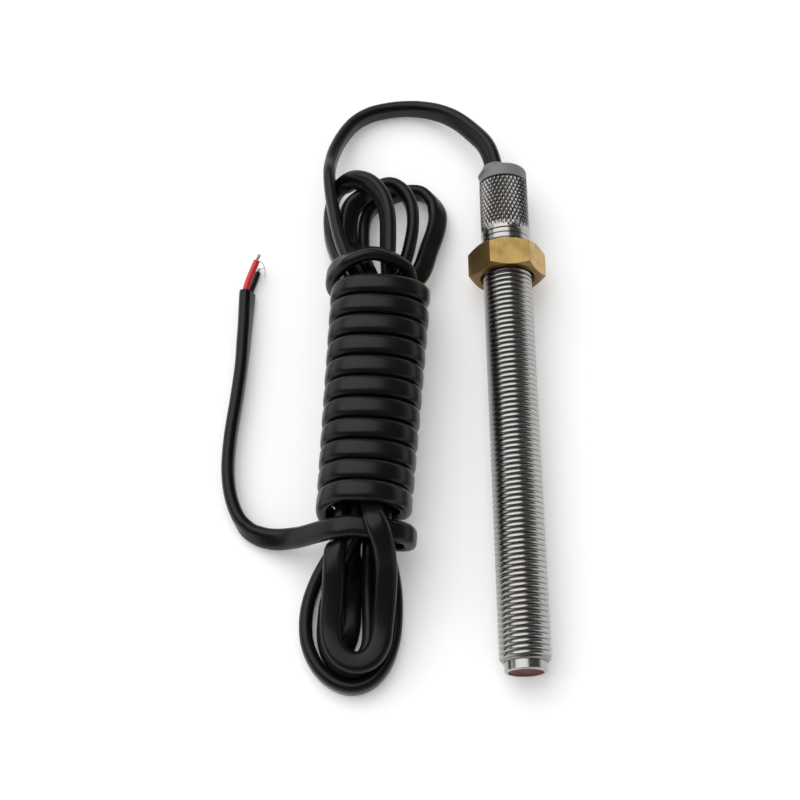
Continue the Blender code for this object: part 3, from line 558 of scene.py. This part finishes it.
def make_speckled(name, dark, light, scale, roughness, bump, metallic=0.0, gloss=0.5):
    """A cast or moulded surface: two close tones and a fine grain."""
    material, shader = new_material(name, metallic)
    shader.inputs["Specular IOR Level"].default_value = gloss
    place = surface_place(material)
    cloud = noise(material, place, scale, detail=5.0)
    grain = noise(material, place, scale * 8.0, detail=2.0)
    join(material, blend_colours(material, cloud, dark, light), shader.inputs["Base Color"])
    spread = remap(material, cloud, 0.3, 0.7, roughness * 0.88, roughness * 1.12)
    join(material, spread, shader.inputs["Roughness"])
    add_bump(material, shader, grain, bump, 0.00003)
    return material


materials = {
    "stainless_steel": make_steel(
        "turned_steel",
        root_radius=THREAD_RADIUS - THREAD_DEPTH,
        crest_radius=THREAD_RADIUS - THREAD_BRIGHT,
        # Painted shade with some dirt at the thread's roots
        groove_shade_and_dirt=(0.25, 0.24, 0.22),
        bare_until=THREAD_START),
    "brass": make_brass(),
    "grey_potting": make_speckled(
        "grey_epoxy", (0.15, 0.15, 0.16), (0.20, 0.20, 0.21),
        scale=700.0, roughness=0.55, bump=0.5),
    "red_epoxy": make_speckled(
        "dark_red_epoxy", (0.08, 0.004, 0.008), (0.12, 0.009, 0.013),
        scale=500.0, roughness=0.48, bump=0.1, gloss=0.12),
    "soft_iron": make_speckled(
        "soft_iron", (0.36, 0.35, 0.34), (0.48, 0.47, 0.46),
        scale=600.0, roughness=0.40, bump=0.3, metallic=1.0),
    "natural_nylon": make_speckled(
        "natural_nylon", (0.70, 0.67, 0.57), (0.78, 0.75, 0.66),
        scale=500.0, roughness=0.50, bump=0.2),
    "copper_wire": make_speckled(
        "copper_wire", (0.62, 0.26, 0.13), (0.78, 0.40, 0.22),
        scale=900.0, roughness=0.30, bump=0.2, metallic=1.0),
    "magnet_alloy": make_speckled(
        "magnet_alloy", (0.24, 0.24, 0.25), (0.34, 0.34, 0.35),
        scale=800.0, roughness=0.45, bump=0.4, metallic=1.0),
    "board_laminate": make_speckled(
        "board_laminate", (0.08, 0.19, 0.10), (0.12, 0.25, 0.14),
        scale=700.0, roughness=0.50, bump=0.2),
    "black_pvc": make_speckled(
        "black_pvc", (0.0032, 0.0032, 0.0042), (0.0054, 0.0054, 0.0070),
        scale=160.0, roughness=0.31, bump=0.12, gloss=0.28),
    "red_pvc": make_speckled(
        "red_pvc", (0.52, 0.015, 0.022), (0.66, 0.03, 0.04),
        scale=420.0, roughness=0.35, bump=0.15),
    "core_black_pvc": make_speckled(
        "core_black", (0.006, 0.006, 0.007), (0.010, 0.010, 0.011),
        scale=420.0, roughness=0.42, bump=0.15),
    "tinned_strands": make_speckled(
        "bare_strands", (0.30, 0.25, 0.23), (0.55, 0.50, 0.47),
        scale=900.0, roughness=0.35, bump=0.2, metallic=1.0),
}
# The knurl's own finish, darkened in its grooves by painted shade with some dirt
knurled_steel = make_steel(
    "knurled_steel",
    root_radius=KNURL_RADIUS - KNURL_DEPTH * 0.9,
    crest_radius=KNURL_RADIUS - KNURL_DEPTH * 0.25,
    # Painted shade with some dirt at the knurl's roots
    groove_shade_and_dirt=(0.06, 0.055, 0.05),
)

for subpart in frame["record"]["subparts"]:
    node = frame["nodes"][subpart["node"]]
    node.data.materials.clear()
    node.data.materials.append(materials[subpart["material_slot"]])


# Steel housing


def thread_point(row, column):
    """A corner on the helical surface; past either end it stays on that end's circle."""
    share, depth = THREAD_SECTION[row % len(THREAD_SECTION)]
    turns = row // len(THREAD_SECTION) + share + column / THREAD_COLUMNS - 1.0
    along = min(max(THREAD_START + THREAD_PITCH * turns, THREAD_START), THREAD_END)
    run_out = min(1.0, (THREAD_END - along) / THREAD_RUN_OUT)
    cone = THREAD_RADIUS - THREAD_CHAMFER + along - THREAD_START
    radius = min(THREAD_RADIUS - THREAD_DEPTH * depth * run_out, cone)
    return polar(radius, column / THREAD_COLUMNS, along)


def add_thread(corners, faces):
    """The helical surface. A row is one line of the section; its last column joins the next turn."""
    first = len(corners)
    per_turn = len(THREAD_SECTION)
    rows = per_turn * (int((THREAD_END - THREAD_START) / THREAD_PITCH) + 4)
    for row in range(rows):
        for column in range(THREAD_COLUMNS):
            corners.append(thread_point(row, column))
    for row in range(rows - per_turn - 1):
        for column in range(THREAD_COLUMNS):
            here = first + row * THREAD_COLUMNS + column
            beside = here + 1
            if column == THREAD_COLUMNS - 1:
                beside = first + (row + per_turn) * THREAD_COLUMNS
            faces.append((here, beside, beside + THREAD_COLUMNS, here + THREAD_COLUMNS))


def make_barrel():
    """Nose, thread and the plain band with its two grooves."""
    corners, faces = [], []
    add_thread(corners, faces)
    nose = [
        (0.0, BORE_RADIUS),
        (0.0, NOSE_RADIUS - NOSE_EDGE),
        (NOSE_EDGE, NOSE_RADIUS),
        (THREAD_START, NOSE_RADIUS),
        (THREAD_START, THREAD_RADIUS - THREAD_CHAMFER),
    ]
    lathe(corners, faces, nose, THREAD_COLUMNS)
    band = [(THREAD_END, THREAD_RADIUS)]
    for count in (1, 2):
        middle = THREAD_END + GROOVE_STEP * count
        for step in range(9):
            share = step / 4.0 - 1.0
            depth = GROOVE_DEPTH * (1.0 - share * share)
            band.append((middle + share * GROOVE_WIDTH / 2.0, THREAD_RADIUS - depth))
    band += [(KNURL_START, THREAD_RADIUS), (KNURL_START, BORE_RADIUS), (0.0, BORE_RADIUS)]
    lathe(corners, faces, band, THREAD_COLUMNS)
    return mesh_piece("threaded_barrel", corners, faces, materials["stainless_steel"], SENSOR_FRAME)


def saw(value):
    """1 midway between two grooves, 0 in a groove."""
    return 1.0 - abs((value % 1.0) - 0.5) * 2.0


def knurl_height(turn, along):
    """Share of the knurl's depth that stands: flat-topped points between crossing grooves."""
    across = turn * KNURL_DIAMONDS
    lengthways = (along - KNURL_START) / KNURL_DIAMOND_LENGTH
    point = min(saw(across + lengthways), saw(across - lengthways))
    return min(1.0, KNURL_STEEPNESS * point)


def make_grip():
    """The knurl, which fades in over its front end."""
    corners, faces = [], []
    columns = KNURL_DIAMONDS * KNURL_STEPS
    rows = round((KNURL_END - KNURL_START) / (KNURL_DIAMOND_LENGTH / KNURL_STEPS))
    for row in range(rows + 1):
        along = KNURL_START + (KNURL_END - KNURL_START) * row / rows
        pressed = min(1.0, max(0.0, (along - KNURL_START - KNURL_BARE) / KNURL_FADE))
        edge = min(along - KNURL_START, KNURL_END - along)
        limit = KNURL_RADIUS - KNURL_CHAMFER + edge
        for column in range(columns):
            turn = column / columns
            depth = KNURL_DEPTH * pressed * (1.0 - knurl_height(turn, along))
            corners.append(polar(min(limit, KNURL_RADIUS - depth), turn, along))
    for row in range(rows):
        for column in range(columns):
            here = row * columns + column
            beside = row * columns + (column + 1) % columns
            faces.append((here, beside, beside + columns, here + columns))
    ends = [
        (KNURL_END, KNURL_RADIUS - KNURL_CHAMFER),
        (KNURL_END, REAR_BORE_RADIUS),
        (KNURL_START, REAR_BORE_RADIUS),
        (KNURL_START, KNURL_RADIUS - KNURL_CHAMFER),
    ]
    lathe(corners, faces, ends, columns)
    return mesh_piece("knurled_grip", corners, faces, knurled_steel, SENSOR_FRAME)


barrel = make_barrel()
grip = make_grip()
for piece in (barrel, grip):
    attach(piece, "sensor")
    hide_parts("housing_barrel")


# Lock nut


def make_nut():
    """A hexagon cut by a cone at each face; each column of corners runs from bore to bore."""
    middle = (NUT_START + NUT_END) / 2.0
    corners, faces = [], []
    sections = []
    for column in range(NUT_COLUMNS):
        turn = column / NUT_COLUMNS
        off_flat = (turn * 6.0 + 0.5) % 1.0 - 0.5
        reach = NUT_HALF_FLATS / math.cos(off_flat * math.pi / 3.0)
        cut = (reach - NUT_CHAMFER_RADIUS) * math.tan(NUT_CHAMFER_ANGLE)
        half = [
            (NUT_START + NUT_BORE_CHAMFER, NUT_BORE_RADIUS),
            (NUT_START, NUT_BORE_RADIUS + NUT_BORE_CHAMFER),
            (NUT_START, NUT_CHAMFER_RADIUS),
            (NUT_START + cut, reach),
        ]
        other = [(2.0 * middle - along, radius) for along, radius in reversed(half)]
        sections.append([polar(radius, turn, along) for along, radius in half + other])
    rings = len(sections[0])
    for section in sections:
        corners += section
    for column in range(NUT_COLUMNS):
        here = column * rings
        there = ((column + 1) % NUT_COLUMNS) * rings
        for ring in range(rings):
            after = (ring + 1) % rings
            faces.append((here + ring, there + ring, there + after, here + after))
    nut = mesh_piece("hexagon_nut", corners, faces, materials["brass"], SENSOR_FRAME, 20.0)
    bevel = nut.modifiers.new("Edges", "BEVEL")
    bevel.width = NUT_EDGE
    bevel.segments = 2
    bevel.limit_method = "ANGLE"
    bevel.angle_limit = math.radians(20.0)
    bevel.harden_normals = True
    return nut


nut = make_nut()
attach(nut, "nut")
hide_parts("lock_nut")


# Potting at both ends


def make_cap():
    """The cast cap, rounded at its outer edge."""
    corners, faces = [], []
    profile = [(CAP_START, 0.0), (CAP_START, CAP_RADIUS)]
    profile += rounded_edge(CAP_END, CAP_RADIUS, CAP_EDGE, 8)
    profile.append((CAP_END, 0.0))
    lathe(corners, faces, profile, 96)
    return mesh_piece("cable_cap", corners, faces, materials["grey_potting"], SENSOR_FRAME)


def make_collar():
    """The collar that the cable leaves, flared where it rises from the cap. Its mouth is at 0."""
    corners, faces = [], []
    profile = [(-COLLAR_LENGTH, 0.0), (-COLLAR_LENGTH, COLLAR_BASE_RADIUS + COLLAR_FOOT)]
    for step in range(9):
        share = step / 8.0
        widen = COLLAR_FLARE * (1.0 - share) ** 2.5
        along = -COLLAR_LENGTH + COLLAR_SUNK + (COLLAR_LENGTH - COLLAR_SUNK - COLLAR_EDGE) * share
        radius = COLLAR_BASE_RADIUS + (COLLAR_TOP_RADIUS - COLLAR_BASE_RADIUS) * share
        profile.append((along, radius + widen))
    profile += rounded_edge(0.0, COLLAR_TOP_RADIUS, COLLAR_EDGE, 6)
    profile.append((0.0, 0.0))
    lathe(corners, faces, profile, 64)
    direction = (COLLAR_MOUTH - PLUG_START).normalized()
    turn = Vector((0.0, 1.0, 0.0)).rotation_difference(direction).to_matrix().to_4x4()
    placed = SENSOR_FRAME @ Matrix.Translation(COLLAR_MOUTH) @ turn
    return mesh_piece("cable_collar", corners, faces, materials["grey_potting"], placed)


def make_face():
    """The red face, a little hollow where the resin has crept up the rim."""
    corners, faces = [], []
    profile = [(FACE_DEPTH, 0.0), (FACE_DEPTH, BORE_RADIUS)]
    for step in range(13):
        share = 1.0 - step / 12.0
        creep = FACE_CREEP * share ** 6
        profile.append((FACE_RECESS - creep, BORE_RADIUS * share))
    lathe(corners, faces, profile, 72)
    return mesh_piece("red_face", corners, faces, materials["red_epoxy"], SENSOR_FRAME)


cap = make_cap()
collar = make_collar()
face = make_face()
for piece in (cap, collar):
    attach(piece, "sensor")
    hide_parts("rear_potting_cap")
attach(face, "sensor")
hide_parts("face_potting")


# Cable route


HANK_ALONG = Vector((HANK_SLANT, 1.0, 0.0)).normalized()
HANK_RIGHT = HANK_ALONG.cross(WORLD_UP)


def hank_share(y):
    """0 at the hank's first turn, 1 at its last."""
    return (HANK_AXIS_Y - y) / HANK_LENGTH


def between(one, two, share):
    return one + (two - one) * share


def hank_place(y, side, rise):
    """A place in the hank: side is to the right of its middle line, rise above its middle."""
    height = between(HANK_HEIGHT_FAR, HANK_HEIGHT_NEAR, hank_share(y))
    middle = HANK_AXIS_X + HANK_SLANT * (y - HANK_AXIS_Y)
    return Vector((middle + side * HANK_RIGHT.x, y + side * HANK_RIGHT.y, height + rise))


def straight_run(row, count, backwards):
    """One run through the turns. Row is -1 below or 1 above, count is 1 at the left to 4."""
    side = (count - (RUNS_IN_ROW + 1) / 2.0) * RUN_SPACING
    places = []
    for y in RUN_STATIONS:
        drop = RUN_DROP * hank_share(y)
        places.append(hank_place(y, side, row * ROW_RISE - drop))
    if backwards:
        places.reverse()
    return places


def squared(value):
    """A sine or cosine pushed towards 1, so that a turn is squarer than an ellipse."""
    return math.copysign(abs(value) ** TURN_SQUARENESS, value)


def turn_places():
    """Centre line of the turns round the hank, which step along it mostly underneath."""
    places = []
    first_top = 2.0 * math.pi + math.pi / 2.0
    start = first_top - TURN_LEAD_IN
    end = first_top + 2.0 * math.pi * (len(TURN_TOPS) - 3) + TURN_LEAD_OUT
    steps = round((end - start) / (2.0 * math.pi) * TURN_STEPS)
    for step in range(steps + 1):
        angle = start + (end - start) * step / steps
        travelled = (angle - math.pi / 2.0) / (2.0 * math.pi)
        index = min(len(TURN_TOPS) - 2, int(travelled))
        share = travelled - index
        share -= TURN_HOLD * math.sin(2.0 * math.pi * share) / (2.0 * math.pi)
        y = between(TURN_TOPS[index], TURN_TOPS[index + 1], share)
        lift = between(TURN_LIFTS[index], TURN_LIFTS[index + 1], share)
        part = hank_share(y)
        half_width = between(TURN_HALF_WIDTH_FAR, TURN_HALF_WIDTH_NEAR, part)
        half_height = between(TURN_HALF_HEIGHT_FAR, TURN_HALF_HEIGHT_NEAR, part)
        side = half_width * squared(math.cos(angle))
        rise = half_height * squared(math.sin(angle)) + lift * max(0.0, math.sin(angle)) ** 2
        places.append(hank_place(y, side, rise))
    return places


def lean(degrees):
    """Facing rule: the cable's width leans this far from upright, to the right of its way."""
    turn = math.radians(degrees)

    def facing(direction):
        right = direction.cross(WORLD_UP).normalized()
        return WORLD_UP * math.cos(turn) + right * math.sin(turn)

    return facing


def along_hank(_direction):
    """Facing rule for the turns: the cable's width lies along the hank."""
    return HANK_ALONG.copy()


UPRIGHT = lean(0.0)


def leaning(points, leans):
    """Each point with its facing rule; leans are how many points, and degrees from upright."""
    angles = [degrees for count, degrees in leans for _point in range(count)]
    return [(Vector(point), lean(degrees)) for point, degrees in zip(points, angles, strict=True)]


def facing_all(points, facing):
    """Each point with the same facing rule."""
    return [(Vector(point), facing) for point in points]


def build_route():
    """The whole cable as (place, facing rule), from inside the cap to its stripped end."""

    def run(row, count, backwards):
        return facing_all(straight_run(row, count, backwards), UPRIGHT)

    def loop(name):
        return leaning(LOOPS[name], LEANS[name])

    direction = (COLLAR_MOUTH - PLUG_START).normalized()
    inside = [PLUG_START, (PLUG_START + COLLAR_MOUTH) / 2.0, COLLAR_MOUTH + direction * CABLE_EXIT]
    route = leaning([SENSOR_FRAME @ place for place in inside], LEANS["exit"])
    route += leaning(LEAD_ROUTE, LEANS["lead"])
    route += run(1, 1, False) + loop("near_1")
    # The first loop slips in under the last turns, so its run starts at the third place
    route += run(1, 3, True)[2:] + loop("far_1")
    route += run(-1, 1, False) + loop("near_2")
    route += run(-1, 4, True) + loop("far_2")
    route += run(-1, 2, False) + loop("near_3")
    route += run(-1, 3, True) + loop("far_3")
    route += run(1, 2, False) + loop("near_4")
    # The last run ends a place early, where the cable rises out of the hank
    route += run(1, 4, True)[:-1] + leaning(LOOSE_TURN, LEANS["loose_turn"])
    route += facing_all(UNDER_TURN + turn_places() + LAST_TURN, along_hank)
    route += leaning(TAIL_ROUTE, LEANS["tail"])
    return route


def even_route(route, step):
    """Even steps along a smooth curve through the route, each with the way its width points."""
    places = [place for place, _facing in route]
    widths = []
    for index, (place, facing) in enumerate(route):
        before = places[max(0, index - 1)]
        after = places[min(len(places) - 1, index + 1)]
        direction = (after - before).normalized()
        width = facing(direction)
        if widths and width.dot(widths[-1]) < 0.0:
            width.negate()
        widths.append(width)
    knots = [places[0] * 2.0 - places[1]] + places + [places[-1] * 2.0 - places[-2]]
    fine, fine_widths = [], []
    for index in range(len(places) - 1):
        p0, p1, p2, p3 = knots[index:index + 4]
        gap0 = (p1 - p0).length ** 0.5
        gap1 = (p2 - p1).length ** 0.5
        gap2 = (p3 - p2).length ** 0.5
        leaving = ((p1 - p0) / gap0 - (p2 - p0) / (gap0 + gap1) + (p2 - p1) / gap1) * gap1
        arriving = ((p2 - p1) / gap1 - (p3 - p1) / (gap1 + gap2) + (p3 - p2) / gap2) * gap1
        for count in range(CURVE_STEPS):
            t = count / CURVE_STEPS
            fine.append(
                p1 * (2.0 * t**3 - 3.0 * t**2 + 1.0)
                + leaving * (t**3 - 2.0 * t**2 + t)
                + p2 * (3.0 * t**2 - 2.0 * t**3)
                + arriving * (t**3 - t**2)
            )
            ease = t * t * (3.0 - 2.0 * t)
            fine_widths.append(widths[index].lerp(widths[index + 1], ease))
    fine.append(places[-1])
    fine_widths.append(widths[-1])
    travelled = [0.0]
    for one, two in zip(fine, fine[1:]):
        travelled.append(travelled[-1] + (two - one).length)
    pieces = round(travelled[-1] / step)
    out, out_widths = [], []
    index = 0
    for count in range(pieces + 1):
        target = travelled[-1] * count / pieces
        while index < len(fine) - 2 and travelled[index + 1] < target:
            index += 1
        share = (target - travelled[index]) / (travelled[index + 1] - travelled[index])
        share = min(1.0, max(0.0, share))
        out.append(fine[index].lerp(fine[index + 1], share))
        out_widths.append(fine_widths[index].lerp(fine_widths[index + 1], share))
    return out, out_widths


def sweep(places, widths, section):
    """Corners and faces of a section carried along a line; section is (across, along the width)."""
    corners, faces = [], []
    size = len(section)
    for index, place in enumerate(places):
        before = places[max(0, index - 1)]
        after = places[min(len(places) - 1, index + 1)]
        direction = (after - before).normalized()
        width = (widths[index] - direction * widths[index].dot(direction)).normalized()
        across = direction.cross(width)
        for side, up in section:
            corners.append(place + across * side + width * up)
    for index in range(len(places) - 1):
        for count in range(size):
            after = (count + 1) % size
            here = index * size
            faces.append((here + count, here + after, here + size + after, here + size + count))
    faces.append(tuple(range(size)))
    faces.append(tuple(range(len(corners) - size, len(corners))))
    return corners, faces


def stadium(width, thickness, points_per_end):
    """The flat cable's section: two half rounds joined by straight sides."""
    radius = thickness / 2.0
    shift = (width - thickness) / 2.0
    outline = []
    for centre, first in ((shift, 0.0), (-shift, math.pi)):
        for step in range(points_per_end + 1):
            angle = first + math.pi * step / points_per_end
            outline.append((radius * math.cos(angle), centre + radius * math.sin(angle)))
    return outline


def line_length(places):
    return sum((two - one).length for one, two in zip(places, places[1:]))


cable_places, cable_widths = even_route(build_route(), CABLE_STEP)
corners, faces = sweep(cable_places, cable_widths, stadium(CABLE_WIDTH, CABLE_THICKNESS, 10))
cable = mesh_piece("flat_cable", corners, faces, materials["black_pvc"], None, 60.0)
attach(cable, "sensor")
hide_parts("cable_lead", "cable_hank", "cable_tail")


# Cores and strands at the stripped end


def circle(radius, points):
    angles = [2.0 * math.pi * count / points for count in range(points)]
    return [(radius * math.cos(angle), radius * math.sin(angle)) for angle in angles]


def even_line(points, step):
    return even_route(facing_all(points, UPRIGHT), step)


def make_core(name, points, stripped, material, node):
    """The insulated stretch of a core. Returns the piece, where it ends and its way there."""
    places, widths = even_line(points, CORE_STEP)
    left = line_length(places) - stripped
    covered = 1
    while line_length(places[:covered + 1]) < left:
        covered += 1
    corners, faces = sweep(places[:covered + 1], widths[:covered + 1], circle(CORE_RADIUS, 20))
    core = mesh_piece(name, corners, faces, material, None, 60.0)
    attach(core, "sensor")
    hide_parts(node)
    return core, places[covered], (places[covered] - places[covered - 3]).normalized()


def make_strands(name, start, direction, length, stray, node, seed):
    """Fine bare wires out of a core: a twisted bunch, and one that has sprung loose."""
    rng = random.Random(seed)
    side = direction.cross(WORLD_UP).normalized()
    up = side.cross(direction)
    all_corners, all_faces = [], []

    def add_wire(points):
        places, widths = even_line(points, STRAND_STEP)
        corners, faces = sweep(places, widths, circle(STRAND_RADIUS, 8))
        first = len(all_corners)
        all_corners.extend(corners)
        all_faces.extend(tuple(first + index for index in face) for face in faces)

    for wire in range(STRAND_COUNT):
        angle = 2.0 * math.pi * wire / STRAND_COUNT
        spread = STRAND_SPREAD if wire else 0.0
        reach = length * rng.uniform(0.8, 1.05)
        points = []
        for step in range(6):
            share = step / 5.0
            turn = angle + STRAND_TWIST * share
            out = spread * (1.0 + 0.5 * share * rng.uniform(0.3, 1.0))
            middle = start + direction * (reach * share - STRAND_ROOT)
            points.append(middle + (side * math.cos(turn) + up * math.sin(turn)) * out)
        add_wire(points)
    add_wire([start + Vector(offset) for offset in stray])
    strands = mesh_piece(name, all_corners, all_faces, materials["tinned_strands"], None, 60.0)
    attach(strands, "sensor")
    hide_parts(node)
    return strands


red_core, red_end, red_way = make_core(
    "red_core", RED_CORE_ROUTE, RED_STRIPPED, materials["red_pvc"], "core_red")
black_core, black_end, black_way = make_core(
    "black_core", BLACK_CORE_ROUTE, BLACK_STRIPPED,
    materials["core_black_pvc"], "core_black")
red_strands = make_strands(
    "red_strands", red_end, red_way, RED_STRIPPED, RED_STRAY, "strands_red", 3)
black_strands = make_strands(
    "black_strands", black_end, black_way, BLACK_STRIPPED, BLACK_STRAY, "strands_black", 5)


# Camera and lights


def make_camera():
    """The photograph's view: seen from above the tip, a little rolled."""
    ahead = Vector((
        math.sin(CAMERA_AZIMUTH) * math.cos(CAMERA_ELEVATION),
        math.cos(CAMERA_AZIMUTH) * math.cos(CAMERA_ELEVATION),
        -math.sin(CAMERA_ELEVATION),
    ))
    level = Vector((math.cos(CAMERA_AZIMUTH), -math.sin(CAMERA_AZIMUTH), 0.0))
    above = level.cross(ahead)
    right = level * math.cos(CAMERA_ROLL) + above * math.sin(CAMERA_ROLL)
    up = above * math.cos(CAMERA_ROLL) - level * math.sin(CAMERA_ROLL)
    data = bpy.data.cameras.new("camera")
    data.lens = CAMERA_LENS
    data.sensor_width = 36.0
    data.clip_start = 0.01
    data.clip_end = 200.0
    camera = bpy.data.objects.new("camera", data)
    turn = Matrix((right, up, -ahead)).transposed().to_4x4()
    camera.matrix_world = Matrix.Translation(CAMERA_TARGET - ahead * CAMERA_DISTANCE) @ turn
    bpy.context.scene.collection.objects.link(camera)
    bpy.context.scene.camera = camera


def make_sun(name, toward, strength, spread, in_reflections=True):
    """A distant light, from the direction toward; spread is its width in degrees."""
    data = bpy.data.lights.new(name, "SUN")
    data.energy = strength
    data.angle = math.radians(spread)
    sun = bpy.data.objects.new(name, data)
    sun.rotation_euler = Vector(toward).to_track_quat("Z", "Y").to_euler()
    sun.visible_glossy = in_reflections
    bpy.context.scene.collection.objects.link(sun)


def make_world():
    """Pale at the horizon, dim above, as in a studio with one big soft light."""
    world = bpy.data.worlds.new("studio")
    world.use_nodes = True
    bpy.context.scene.world = world
    nodes, links = world.node_tree.nodes, world.node_tree.links
    background = nodes["Background"]
    place = nodes.new("ShaderNodeTexCoord")
    parts = nodes.new("ShaderNodeSeparateXYZ")
    links.new(place.outputs["Generated"], parts.inputs[0])
    ramp = nodes.new("ShaderNodeMapRange")
    ramp.inputs["From Min"].default_value = 0.16
    ramp.inputs["From Max"].default_value = 0.30
    ramp.inputs["To Min"].default_value = 0.95
    ramp.inputs["To Max"].default_value = 0.09
    links.new(parts.outputs["Z"], ramp.inputs["Value"])
    links.new(ramp.outputs["Result"], background.inputs["Color"])


def make_floor():
    """A pale floor that the camera and reflections see white, and that keeps the shadow."""
    signs = ((-1.0, -1.0), (1.0, -1.0), (1.0, 1.0), (-1.0, 1.0))
    corners = [(FLOOR_HALF * x, FLOOR_HALF * y, 0.0) for x, y in signs]
    material, shader = new_material("pale_floor")
    shader.inputs["Base Color"].default_value = (0.93, 0.93, 0.93, 1.0)
    shader.inputs["Roughness"].default_value = 0.9
    shader.inputs["Specular IOR Level"].default_value = 0.2
    seen = add_node(material, "ShaderNodeLightPath")
    view = larger(material, seen.outputs["Is Camera Ray"], seen.outputs["Is Glossy Ray"])
    view = larger(material, view, seen.outputs["Is Transmission Ray"])
    glow = remap(material, view, 0.0, 1.0, 0.0, FLOOR_LIFT)
    join(material, glow, shader.inputs["Emission Strength"])
    shader.inputs["Emission Color"].default_value = (1.0, 1.0, 1.0, 1.0)
    floor = mesh_piece("floor", corners, [(0, 1, 2, 3)], material)


make_camera()
make_world()
make_sun("key", (-0.416, 0.40, 0.817), 1.72, 70.0)
make_sun("fill", (-0.25, -0.15, 0.95), 1.45, 150.0, in_reflections=False)
make_floor()
bpy.context.scene.view_settings.view_transform = "Standard"
